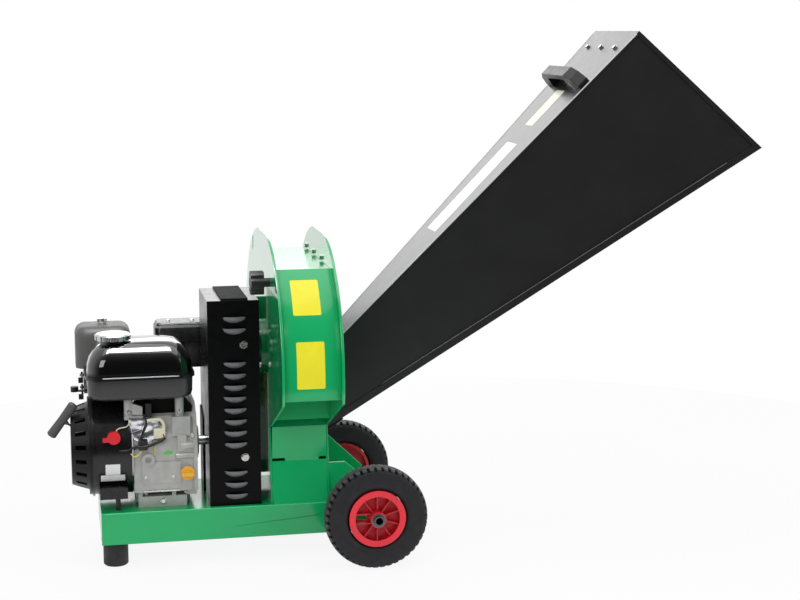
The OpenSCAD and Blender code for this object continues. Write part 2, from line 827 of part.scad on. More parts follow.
handle_run = top_len - 150;
handle_len = 228;
handle_high = 38;
module hopper_handle() {
    handle_w = 26;
    bar = 13;
    foot = 38;
    half = handle_len / 2;
    outer = [[half, 0], [half, 8], [half - 16, 27], [half - foot, handle_high]];
    inner = [[half - foot - 18, handle_high - bar], [half - foot, 0]];
    side = concat(outer, [for (p = [outer[3], outer[2], outer[1], outer[0]]) [-p[0], p[1]]],
                  [for (p = [inner[1], inner[0]]) [-p[0], p[1]]], inner);
    color(black) on_top(handle_run) translate([-handle_w / 2, 0, 0]) rotate([90, 0, 90])
        linear_extrude(handle_w) polygon(side);
}

stiffener_run = top_len - 48;
bolt_pitch = 89;
module mouth_stiffener() {
    wide = 30;
    thick = 4;
    half = half_at(top_at(stiffener_run - wide / 2)[0]) - 2 * hopper_t - 1;
    color(black) on_top(stiffener_run)
        translate([-wide / 2, -half, -hopper_t - thick]) cube([wide, 2 * half, thick]);
}

module hopper_bolts() {
    flange_z = [hopper_z + 30, top_in[1] - 20];
    color(steel) {
        on_top(stiffener_run) for (i = [-1:1]) translate([0, i * bolt_pitch, 0]) bolt_head(6);
        for (s = [-1, 1], z = flange_z)
            translate([hopper_x, s * (half_w + 8), z]) rotate([0, 90, 0]) bolt_head(5);
    }
}

module bolts() {
    housing_bolts();
    hopper_bolts();
}

/* Gussets between the drum and the tray: a tall one at the back and a low one in front */
module gusset() {
    gusset_t = 4;
    foot_up = 22;
    back_up = 115;
    front_up = 78;
    flat = 34;
    end = base_right - 22;
    color(green) {
        along_y(pedestal_y - 30, gusset_t)
            polygon([[right_outer, deck_z], [end, deck_z], [end, deck_z + foot_up],
                     [right_outer + 4, deck_z + back_up], [right_outer, deck_z + back_up]]);
        along_y(-pedestal_y + 12, gusset_t)
            polygon([[right_outer, deck_z], [end, deck_z], [end, deck_z + foot_up],
                     [right_outer + flat, deck_z + front_up], [right_outer, deck_z + front_up]]);
    }
}

/* Engine */
case_d = 190;
case_top = crank_z + 88;
case_low = deck_z + 34;
case_front = -case_d / 2;
cover_w = 8;
foot_bar = 22;
module case_outline(grow) {
    half = case_d / 2 + grow;
    polygon([[-half, case_low], [-half, crank_z + 20], [-half + 16, crank_z + 72],
             [-half + 50, case_top + grow], [half - 60, case_top + grow], [half, crank_z + 30],
             [half, case_low]]);
}

post_x = [case_left - 8, case_right - 34];
post_y = case_front + 11;
post_r = 9;
tank_z = crank_z + tank_up;
plug_x = case_left + 28;
plug_z = crank_z - 12;
dip_r = 8;
boss_r = dip_r + 4;
dip_x = case_right - cover_w - boss_r - 1;
dip_z = crank_z - 42;

module crankcase() {
    inside = case_right - cover_w;
    foot_y = [engine_hole_y / 2 - 14, engine_hole_y / 2 + 14];
    leg_x = [case_left + 8, case_right - 52];
    leg_w = 8;
    tab_z = crank_z + 70;
    color(alloy) difference() {
        union() {
            along_x(case_left, case_w - cover_w) case_outline(0);
            // Sump, foot bars and the legs between the bars and the case
            box([case_left + 6, -foot_y[0], deck_z + 3], [inside - 6, foot_y[0], case_low + 1]);
            for (s = [-1, 1]) {
                box([case_left + 8, min(s * foot_y[0], s * foot_y[1]), deck_z],
                    [inside - 14, max(s * foot_y[0], s * foot_y[1]), deck_z + foot_bar]);
                for (x = leg_x) box([x, min(s * (foot_y[0] - 1), s * foot_y[1]), deck_z + foot_bar - 1],
                                    [x + leg_w, max(s * (foot_y[0] - 1), s * foot_y[1]), case_low + 1]);
            }
            // Tank posts, the left one on a tab over the shroud
            for (x = post_x) rod_z(tab_z, tank_z, post_r, x, post_y);
            box([post_x[0] - post_r, post_y - post_r, tab_z], [case_left + 20, post_y + post_r, tab_z + 7]);
            // Block, rib, bosses and panel on the front face
            box([case_right - 50, case_front - 3, crank_z + 34], [inside - 6, case_front + 30, crank_z + 73]);
            box([case_right - 40, case_front - 5, crank_z + 4],
                [case_right - 22, case_front + 10, crank_z + 36]);
            rod_x(case_right - 33, inside, 7, case_front, crank_z + 13);
            rod_x(case_right - 43, inside, 6, case_front, crank_z - 8);
            box([case_left + 16, case_front - 3, case_low + 18],
                [case_right - 34, case_front + 1, crank_z - 18]);
            rod_y(case_front - 8, case_front + 1, 13, plug_x, plug_z);
            rod_y(case_front - 6, case_front + 1, boss_r, dip_x, dip_z);
        }
        rod_x(case_left - 1, case_right, crank_d / 2 + run_fit, 0, crank_z);
        rod_y(case_front - 9, case_front - 2, 6, plug_x, plug_z);
        rod_y(case_front - 9, case_front + 30, dip_r, dip_x, dip_z);
        for (x = [-1, 1], y = [-1, 1])
            rod_z(deck_z - 1, deck_z + foot_bar + 1, engine_hole_r,
                  case_mid + x * engine_hole_x / 2, y * engine_hole_y / 2);
        along_x(case_left + 12, case_w - 40) translate([0, crank_z]) square([60, 60], center = true);
    }
}

module side_cover() {
    seal_r = 30;
    color(alloy) difference() {
        union() {
            along_x(case_right - cover_w, cover_w) case_outline(3);
            rod_x(case_right - 1, case_right + 9, seal_r, 0, crank_z);
            for (a = [20:40:340]) about_x(0, crank_z, a)
                rod_x(case_right - cover_w, case_right + 3, 6, 0, 72);
        }
        rod_x(case_right - cover_w - 1, case_right + 10, crank_d / 2 + run_fit, 0, crank_z);
    }
}

crank_end = [shroud_left + 8, belt_x + pulley_w / 2];
module crankshaft() { color(steel) rod_x(crank_end[0], crank_end[1], crank_d / 2, 0, crank_z); }

module flywheel() {
    wheel_r = shroud_r - 14;
    rim_w = 24;
    vane_h = 22;
    x0 = case_left - 20 - rim_w;
    color(alloy) difference() {
        union() {
            rod_x(x0, x0 + rim_w, wheel_r, 0, crank_z);
            for (i = [0:11]) about_x(0, crank_z, i * 30)
                box([x0 - vane_h, -2, wheel_r - 38], [x0 + 1, 2, wheel_r - 6]);
        }
        rod_x(x0 - 1, x0 + rim_w + 1, crank_d / 2, 0, crank_z);
        rod_x(x0 + 8, x0 + rim_w + 1, wheel_r - 12, 0, crank_z);
    }
}

// Cylinder, leaning back over the far side; its own axis runs along +Y before it is leaned
bore_x = case_mid;
barrel = [case_d / 2 - 33, case_d / 2 + 73];
fin = 100;
head_len = 28;
module leaned() { translate([bore_x, 0, crank_z]) rotate([cylinder_lean, 0, 0]) children(); }
module cylinder_barrel() {
    fin_t = 3;
    fin_count = 9;
    step = (barrel[1] - barrel[0] - 34) / (fin_count - 1);
    color(alloy) difference() {
        leaned() {
            translate([0, barrel[0], 0]) rotate([-90, 0, 0]) cylinder(h = barrel[1] - barrel[0], r = 40);
            for (i = [0:fin_count - 1]) translate([-fin / 2, barrel[0] + 34 + i * step - fin_t, -fin / 2])
                cube([fin, fin_t, fin]);
            translate([-fin / 2, barrel[1], -fin / 2]) cube([fin, head_len, fin]);
        }
        along_x(case_left - 1, case_w + 2) case_outline(0);
    }
}
module valve_cover() {
    size = 78;
    deep = 26;
    color(black) leaned() translate([0, barrel[1] + head_len, 0]) {
        translate([-size / 2 - 6, 0, -size / 2 - 6]) cube([size + 12, 6, size + 12]);
        translate([-size / 2, 6, -size / 2]) cube([size, deep, size]);
    }
}

// Drum-shaped shroud with a flat duct that leads the air to the cylinder
shroud_t = 2.5;
module shroud_outline(grow) {
    translate([0, crank_z]) circle(shroud_r + grow);
    translate([0, crank_z - 20]) square([shroud_r + grow, shroud_r - 6 + grow + 20]);
}
module fan_shroud() {
    box_x = [case_left - 69, case_left - 14];
    box_z = [deck_z + 27, deck_z + 50];
    color(black) {
        difference() {
            along_x(shroud_left, shroud_w) shroud_outline(0);
            along_x(shroud_left - 1, shroud_w - shroud_t + 1) shroud_outline(-shroud_t);
            rod_x(case_left - shroud_t - 1, case_left + 1, crank_d / 2 + 6, 0, crank_z);
        }
        difference() {
            rod_x(shroud_left, shroud_left + 4, shroud_r + 4, 0, crank_z);
            rod_x(shroud_left - 1, shroud_left + 5, shroud_r - 1, 0, crank_z);
        }
        difference() {
            box([box_x[0], -shroud_r - 10, box_z[0]], [box_x[1], -40, box_z[1]]);
            rod_x(shroud_left, case_left, shroud_r - 1, 0, crank_z);
        }
        rod_z(deck_z, box_z[0] + 1, 5, (box_x[0] + box_x[1]) / 2 + 8, -shroud_r + 8);
        difference() {
            union() {
                rod_y(switch_y - switch_off + free_gap, switch_y + 12, switch_r - 2, switch_x, switch_z);
                rod_y(switch_y - switch_off - 5, switch_y + 12, switch_pin_r, switch_x, switch_z);
            }
            rod_x(shroud_left - 1, case_left, shroud_r - 1, 0, crank_z);
        }
        rod_z(throttle_z - 1, throttle_z + 10, lever_pin_r, throttle_x, throttle_y);
    }
}

// Cone-sided starter cover with slots round its rim
module recoil_housing() {
    wide = shroud_r - 8;
    narrow = shroud_r - 22;
    wall = 3;
    slots = 18;
    module cone(r0, r1, x0, x1) {
        translate([x0, 0, crank_z]) rotate([0, 90, 0]) cylinder(h = x1 - x0, r1 = r0, r2 = r1);
    }
    color(black) difference() {
        union() {
            cone(narrow, wide, recoil_left, shroud_left);
            rod_x(shroud_left - 6, shroud_left, shroud_r, 0, crank_z);
        }
        cone(narrow - wall, wide - wall, recoil_left + wall, shroud_left + 0.01);
        rod_x(shroud_left - 7, shroud_left + 1, wide - wall - 0.5, 0, crank_z);
        for (i = [0:slots - 1]) about_x(0, crank_z, i * 360 / slots)
            box([recoil_left + 8, -5, narrow - 12], [shroud_left - 12, 5, wide + 12]);
        rod_x(recoil_left - 1, recoil_left + wall + 1, 42, 0, crank_z);
        rod_x(recoil_left - 1, recoil_left + wall + 1, rope_r + 1.5, rope_y, rope_z);
        on_pull(rope_exit) translate([0, 0, -20]) cylinder(h = 30, r = rope_r + 1.5);
    }
}

// Turns +Z onto the direction in which the rope is pulled
module on_pull(p) { translate(p) rotate([0, -90 + pull_tilt, 0]) children(); }
module recoil_grip() {
    color(black) on_pull(grip_mid) {
        translate([-grip_len / 2, 0, 0]) rotate([0, 90, 0]) rotate_extrude()
            polygon([[0, 0], [grip_r - grip_end, 0], [grip_r, grip_end], [grip_r - 1, grip_len / 2],
                     [grip_r, grip_len - grip_end], [grip_r - grip_end, grip_len], [0, grip_len]]);
        translate([0, 0, -stem_len]) cylinder(h = stem_len, r1 = 3, r2 = 8);
    }
}
module recoil_rope() {
    color(black) on_pull(rope_exit) translate([0, 0, -8]) cylinder(h = 8 + rope_show - 0.3, r = rope_r);
}

// Pressed tank in two halves that meet at a seam flange
tank_x = [case_right - 2 - tank_len, case_right - 2];
tank_y = [-116, -116 + tank_depth];
seam_up = 47;
module tank_ring(z, h, inset, r) {
    for (x = [tank_x[0] + inset + r, tank_x[1] - inset - r],
         y = [tank_y[0] + inset + r, tank_y[1] - inset - r])
        translate([x, y, z]) cylinder(h = h, r = r, $fn = 32);
}
module fuel_tank() {
    r = 34;
    dome = 30;
    wall = 3;
    bend = 14;
    neck_r = cap_d / 2 - 9;
    color(black) difference() {
        union() {
            hull() tank_ring(tank_z + seam_up - 3, 6, 0, r);
            hull() {
                for (a = [0:30:90])
                    tank_ring(tank_z + bend * (1 - sin(a)), 1, 5 + bend * (1 - cos(a)), r - 5);
                tank_ring(tank_z + seam_up - 3, 1, 4, r - 4);
            }
            hull() for (a = [0:15:90])
                tank_ring(tank_z + seam_up + 8 + (tank_h - seam_up - 9) * sin(a), 1,
                          4 + 44 * (1 - cos(a)), r - 8 * (1 - cos(a)));
            hull() tank_ring(tank_z + seam_up, 9, 4, r);
            rod_z(tank_z + tank_h - dome, neck_z, neck_r, cap_x, cap_y);
        }
        hull() {
            tank_ring(tank_z + wall, 1, 14 + wall, r - 13);
            tank_ring(tank_z + 16, tank_h - 2 * dome - 10, 5 + wall, r - 6);
            tank_ring(tank_z + tank_h - 12, 1, 34 + wall, r - 8);
        }
        rod_z(tank_z + tank_h - dome, neck_z + 1, neck_r - wall, cap_x, cap_y);
    }
}

neck_z = tank_z + tank_h + 3;
cap_x = tank_x[0] + 58;
cap_y = tank_y[0] + 62;
module fuel_cap() {
    cap_h = 13;
    grips = 14;
    skirt = cap_h - 4;
    color(steel) translate([cap_x, cap_y, neck_z + 0.3]) {
        linear_extrude(skirt) difference() {
            circle(cap_d / 2);
            for (i = [0:grips - 1]) rotate(i * 360 / grips) translate([cap_d / 2 + 2, 0]) circle(4);
        }
        translate([0, 0, skirt]) rotate_extrude()
            polygon([[0, 0], [cap_d / 2, 0], [cap_d / 2 - 4, 3], [cap_d / 2 - 12, 4], [0, 4]]);
    }
}

// Air filter on the carburettor's elbow
filter_x = [shroud_left - 26, shroud_left + 87];
filter_y = [42, 140];
filter_z = [crank_z + 150, crank_z + 236];
module air_filter() {
    r = 26;
    crown = 20;
    mid = [(filter_x[0] + filter_x[1]) / 2, (filter_y[0] + filter_y[1]) / 2];
    color([0.24, 0.24, 0.25]) {
        hull() for (x = [filter_x[0] + r, filter_x[1] - r], y = [filter_y[0] + r, filter_y[1] - r]) {
            translate([x, y, filter_z[0]]) cylinder(h = 8, r = r, $fn = 32);
            for (a = [0:18:90]) translate([x, y, filter_z[1] - crown * (1 - sin(a)) - 1])
                cylinder(h = 1, r = r - crown * (1 - cos(a)), $fn = 32);
        }
        rod_z(filter_z[1] - 1, filter_z[1] + 3, 9, mid[0], mid[1]);
        box([mid[0] - 10, mid[1] - 2, filter_z[1] + 2], [mid[0] + 10, mid[1] + 2, filter_z[1] + 10]);
        rod_z(filter_z[1], filter_z[1] + 11, 5, mid[0], mid[1]);
    }
}

carb_x = [shroud_left - 10, shroud_left + 46];
carb_y = [shroud_r + 4, shroud_r + 50];
carb_z = [crank_z + 86, crank_z + 134];
lever_pin_r = 3;
lever_t = 4;
choke_at = [carb_y[0] + 10, carb_z[1] - 10];
fuel_at = [carb_y[0] + 10, carb_z[0] + 12];
module carburettor() {
    bowl_r = 20;
    mid = [(carb_x[0] + carb_x[1]) / 2, (carb_y[0] + carb_y[1]) / 2];
    color(alloy) {
        box([carb_x[0], carb_y[0], carb_z[0]], [carb_x[1], carb_y[1], carb_z[1]]);
        rod_z(carb_z[0] - 22, carb_z[0] + 1, bowl_r, mid[0], mid[1]);
        rod_z(carb_z[1] - 1, filter_z[0], 16, mid[0], carb_y[0] + 16);
        rod_x(carb_x[1] - 1, bore_x - fin / 2, 15, carb_y[0] + 17, carb_z[0] + 8);
        for (p = [choke_at, fuel_at]) rod_x(carb_x[0] - lever_t - 4, carb_x[0] + 1, lever_pin_r, p[0], p[1]);
    }
}

// A lever on a pin along X, whose arm points at an angle in the YZ plane
module lever(at, a, len) {
    x0 = carb_x[0] - lever_t - 1.5;
    color(black) difference() {
        about_x(at[0], at[1], a) {
            rod_x(x0, x0 + lever_t, 7, 0, 0);
            box([x0, -4.5, 0], [x0 + lever_t, 4.5, len]);
            rod_x(x0 - 6, x0 + lever_t, 6, 0, len);
        }
        rod_x(x0 - 1, x0 + lever_t + 1, lever_pin_r + run_fit, at[0], at[1]);
    }
}
module choke_lever() { lever(choke_at, 100, 30); }
module fuel_lever() { lever(fuel_at, 120, 30); }

// Throttle lever on a stud on top of the shroud's duct
throttle_x = shroud_left + 22;
throttle_y = shroud_r - 34;
throttle_z = crank_z + shroud_r - 6;
module throttle_lever() {
    arm = 52;
    boss_h = 8;
    arm_z = throttle_z + 5;
    color(black) difference() {
        union() {
            rod_z(throttle_z + 0.3, throttle_z + boss_h, 9, throttle_x, throttle_y);
            box([throttle_x - arm, throttle_y - 5, arm_z], [throttle_x, throttle_y + 5, throttle_z + boss_h]);
            rod_z(arm_z, arm_z + 11, 8, throttle_x - arm, throttle_y);
        }
        rod_z(throttle_z - 1, throttle_z + 13, lever_pin_r + run_fit, throttle_x, throttle_y);
    }
}

// Pressed muffler box with its pipe down to the head
muffler_x = [case_right - 72, guard_left + 30];
muffler_y = [guard_back + 9, guard_back + 85];
muffler_z = [crank_z + 136, crank_z + 232];
module muffler() {
    r = 12;
    seam = 56;
    wall = 3;
    outlet_r = 12;
    pipe_x = bore_x + 40;
    pipe_y = 128;
    module ring(z, h, inset) {
        for (x = [muffler_x[0] + inset + r, muffler_x[1] - inset - r],
             y = [muffler_y[0] + inset + r, muffler_y[1] - inset - r])
            translate([x, y, z]) cylinder(h = h, r = r, $fn = 24);
    }
    color(black) difference() {
        union() {
            hull() {
                ring(muffler_z[0], 1, 8);
                ring(muffler_z[0] + 8, seam, 3);
            }
            hull() ring(muffler_z[0] + seam, 4, 0);
            hull() {
                ring(muffler_z[0] + seam + 4, 26, 3);
                ring(muffler_z[1] - 1, 1, 9);
            }
            rod_z(crank_z + 96, muffler_z[0] + 1, 14, pipe_x, pipe_y);
        }
        hull() {
            ring(muffler_z[0] + wall, 1, 8 + wall);
            ring(muffler_z[0] + seam, 20, 3 + wall);
        }
        rod_y(muffler_y[1] - 20, muffler_y[1] + 1, outlet_r,
              (muffler_x[0] + muffler_x[1]) / 2, muffler_z[0] + seam - 20);
        leaned() translate([-fin, 0, -fin / 2]) cube([2 * fin, 2 * barrel[1], fin]);
    }
}

module spark_plug() {
    nut_h = 8;
    color(black) leaned() translate([-22, barrel[1] + head_len / 2, fin / 2]) {
        cylinder(h = nut_h, r = 11, $fn = 6);
        translate([0, 0, nut_h]) cylinder(h = 26, r1 = 9, r2 = 7);
    }
}

// Round rocker switch on the front of the shroud
switch_x = shroud_left + 42;
switch_z = crank_z + 38;
switch_y = -sqrt(pow(shroud_r, 2) - pow(switch_z - crank_z, 2));
switch_r = 13;
switch_pin_r = 5;
switch_off = 8;
module stop_switch() {
    face = switch_y - switch_off - 10;
    color(red) difference() {
        union() {
            rod_y(face, switch_y - switch_off, switch_r, switch_x, switch_z);
            box([switch_x - 22, face, switch_z - 8], [switch_x, switch_y - switch_off, switch_z]);
        }
        rod_y(switch_y - switch_off - 6, switch_y, switch_pin_r + run_fit, switch_x, switch_z);
    }
}

module dipstick() {
    color(yellow) {
        rod_y(-case_d / 2 - 5.7, -case_d / 2 + 18, dip_r - run_fit, dip_x, dip_z);
        rod_y(-case_d / 2 - 12, -case_d / 2 - 6.3, dip_r + 6, dip_x, dip_z);
        rod_y(-case_d / 2 - 7, -case_d / 2 - 5, dip_r - 1, dip_x, dip_z);
        box([dip_x - 12, -case_d / 2 - 24, dip_z - 3.5], [dip_x + 12, -case_d / 2 - 11, dip_z + 3.5]);
    }
}

put() base_frame();
put() base_skirts();
put() base_ends();
put() feet();
put() axle();
put() axle_clips();
put() gusset();
put() tyre_near();
put() rim_near();
put() tyre_far();
put() rim_far();
put() left_side_plate();
put() right_side_plate();
put() front_cover();
put() drum_band();
put() discharge_deflector();
put() discharge_ramp();
put() clamp_knob();
put() bolts();
put() rotor_shaft();
put() cutter_disc();
put() knives();
put() paddles();
put() rotor_pulley();
put() bearing_cartridge();
put() bearings();
put() anvil();
put() drive_belt();
put() belt_guard();
put() guard_face();
put() guard_back_plate();
put() hopper_near_side();
put() hopper_far_side();
put() hopper_top();
put() hopper_floor();
put() hopper_flange();
put() hopper_handle();
put() mouth_stiffener();
put() crankcase();
put() side_cover();
put() crankshaft();
put() flywheel();
put() engine_pulley();
put() cylinder_barrel();
put() valve_cover();
put() fan_shroud();
put() recoil_housing();
put() recoil_grip();
put() recoil_rope();
put() fuel_tank();
put() fuel_cap();
put() air_filter();
put() carburettor();
put() choke_lever();
put() fuel_lever();
put() throttle_lever();
put() muffler();
put() spark_plug();
put() stop_switch();
put() dipstick();
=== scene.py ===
"""Looks of a petrol garden shredder: finishes, labels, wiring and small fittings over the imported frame."""
import math

import bmesh
import bpy
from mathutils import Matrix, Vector


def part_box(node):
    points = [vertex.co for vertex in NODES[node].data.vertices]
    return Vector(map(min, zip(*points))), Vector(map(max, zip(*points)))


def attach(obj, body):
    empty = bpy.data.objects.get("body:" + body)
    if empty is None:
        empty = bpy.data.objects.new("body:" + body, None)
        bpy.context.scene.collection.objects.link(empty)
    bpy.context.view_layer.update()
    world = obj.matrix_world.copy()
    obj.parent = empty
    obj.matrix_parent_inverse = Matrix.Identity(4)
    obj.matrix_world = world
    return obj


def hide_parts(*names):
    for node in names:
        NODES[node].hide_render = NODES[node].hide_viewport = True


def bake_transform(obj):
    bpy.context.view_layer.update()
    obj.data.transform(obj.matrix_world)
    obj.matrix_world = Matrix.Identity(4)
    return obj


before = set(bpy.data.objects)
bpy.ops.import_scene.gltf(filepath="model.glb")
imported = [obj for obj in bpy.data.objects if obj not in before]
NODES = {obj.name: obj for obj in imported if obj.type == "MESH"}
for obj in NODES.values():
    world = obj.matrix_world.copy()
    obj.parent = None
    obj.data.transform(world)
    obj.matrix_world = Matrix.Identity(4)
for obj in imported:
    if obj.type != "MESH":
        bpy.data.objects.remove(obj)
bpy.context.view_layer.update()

AXLE = sum(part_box("axle"), Vector()) / 2


def at(x, y, z):
    """A place given in millimetres about the wheel axle, as the source draws it, in row metres."""
    return Vector((AXLE.x + x / 1000, y / 1000, z / 1000))


# Camera at the photograph's viewing angle
camera_data = bpy.data.cameras.new("camera")
camera_data.lens, camera_data.sensor_width = 76.5, 36.0
camera = bpy.data.objects.new("camera", camera_data)
camera.location = at(-619, -3445, 1067)
camera.rotation_euler = (math.radians(90 - 9.02), 0, math.radians(-11.65))
bpy.context.collection.objects.link(camera)
bpy.context.scene.camera = camera
bpy.context.scene.view_settings.view_transform = "Standard"


# Materials
class Graph:
    """A Principled material with short calls for the nodes that give it its detail."""

    def __init__(self, name, color, roughness, metallic=0.0, specular=0.5):
        self.material = bpy.data.materials.new(name)
        self.material.use_nodes = True
        self.tree = self.material.node_tree
        self.shader = self.tree.nodes["Principled BSDF"]
        self.color, self.roughness = color, roughness
        self.set("Base Color", (*color, 1))
        self.set("Roughness", roughness)
        self.set("Metallic", metallic)
        self.set("Specular IOR Level", specular)
        self.place = self.add("ShaderNodeTexCoord").outputs["Object"]

    def add(self, kind, **settings):
        node = self.tree.nodes.new(kind)
        for key, value in settings.items():
            setattr(node, key, value)
        return node

    def set(self, socket, value):
        self.shader.inputs[socket].default_value = value

    def feed(self, socket, output):
        self.tree.links.new(output, self.shader.inputs[socket])

    def stretched(self, factors):
        mapping = self.add("ShaderNodeMapping")
        mapping.inputs["Scale"].default_value = factors
        self.tree.links.new(self.place, mapping.inputs["Vector"])
        return mapping.outputs["Vector"]

    def noise(self, scale, detail=3.0, place=None):
        node = self.add("ShaderNodeTexNoise")
        node.inputs["Scale"].default_value = scale
        node.inputs["Detail"].default_value = detail
        self.tree.links.new(place or self.place, node.inputs["Vector"])
        return node.outputs["Fac"]

    def cells(self, scale):
        node = self.add("ShaderNodeTexVoronoi")
        node.inputs["Scale"].default_value = scale
        self.tree.links.new(self.place, node.inputs["Vector"])
        return node.outputs["Distance"]

    def remap(self, value, low, high, start=0.3, end=0.7):
        node = self.add("ShaderNodeMapRange")
        for key, number in zip(("From Min", "From Max", "To Min", "To Max"), (start, end, low, high)):
            node.inputs[key].default_value = number
        self.tree.links.new(value, node.inputs["Value"])
        return node.outputs["Result"]

    def blend(self, factor, first, second):
        node = self.add("ShaderNodeMix", data_type="RGBA")
        self.tree.links.new(factor, node.inputs["Factor"])
        for socket, value in ((node.inputs["A"], first), (node.inputs["B"], second)):
            socket.default_value = (*value, 1)
        return node.outputs["Result"]

    def mottle(self, scale, share):
        """Colour that wanders by a share of itself, from broad soft clouds."""
        dark, light = ([channel * (1 + s * share) for channel in self.color] for s in (-1, 1))
        self.feed("Base Color", self.blend(self.remap(self.noise(scale), 0, 1), dark, light))
        return self

    def sheen_wander(self, scale, spread):
        """Roughness that wanders, as wiped or dusty surfaces do."""
        value = self.noise(scale, 5.0)
        self.feed("Roughness", self.remap(value, max(0.02, self.roughness - spread), self.roughness + spread))
        return self

    def coat(self, weight, roughness=0.05):
        """Clear lacquer over the colour."""
        self.set("Coat Weight", weight)
        self.set("Coat Roughness", roughness)
        return self

    def grain(self, height, distance, strength=1.0):
        """Relief in the surface from a height field, in metres."""
        node = self.add("ShaderNodeBump")
        node.inputs["Strength"].default_value = strength
        node.inputs["Distance"].default_value = distance
        self.tree.links.new(height, node.inputs["Height"])
        self.feed("Normal", node.outputs["Normal"])
        return self


def paint(name, color, roughness, peel=650, relief=0.00012, lacquer=0.0):
    """Sprayed paint: slight orange peel, colour clouds and uneven gloss."""
    g = Graph(name, color, roughness)
    g.coat(lacquer).mottle(9, 0.05).sheen_wander(35, 0.04).grain(g.noise(peel, 2.0), relief, 0.35)
    return g.material


def powder(name, color, roughness, specular=0.5, wander=0.06, relief=0.00015):
    """Powder coat: finer and rougher than sprayed paint, with a pebbled skin."""
    g = Graph(name, color, roughness, specular=specular)
    g.mottle(12, 0.10).sheen_wander(60, wander).grain(g.cells(900), relief, 0.30)
    return g.material


def rubber(name, color, roughness):
    """Moulded rubber: dull, dusty and finely pitted."""
    g = Graph(name, color, roughness, specular=0.35)
    g.mottle(40, 0.22).sheen_wander(90, 0.08).grain(g.noise(1400, 3.0), 0.0002, 0.45)
    return g.material


def plastic(name, color, roughness, pebble=1100, relief=0.0001):
    """Moulded plastic with a fine spark-eroded grain."""
    g = Graph(name, color, roughness)
    g.mottle(18, 0.06).sheen_wander(50, 0.05).grain(g.cells(pebble), relief, 0.3)
    return g.material


def cast(name, color, roughness):
    """Sand-cast alloy under a thin grey paint: coarse and fine relief together."""
    g = Graph(name, color, roughness, metallic=0.25, specular=0.4)
    g.mottle(55, 0.10).sheen_wander(45, 0.08).grain(g.noise(480, 6.0), 0.0004, 0.4)
    return g.material


def steel(name, color, roughness, stretch=(1, 1, 1), scale=900):
    """Turned or drawn steel: fine lines along one direction."""
    g = Graph(name, color, roughness, metallic=1.0)
    lines = g.noise(scale, 4.0, g.stretched(stretch))
    g.feed("Roughness", g.remap(lines, roughness - 0.08, roughness + 0.10))
    g.mottle(25, 0.08).grain(lines, 0.00008, 0.3)
    return g.material


def foil(name, color, roughness):
    """Crumpled metal foil: broad creases that mirror bright and dark parts of the room."""
    g = Graph(name, color, roughness, metallic=1.0)
    g.mottle(40, 0.08).grain(g.noise(45, 1.0), 0.0016)
    return g.material


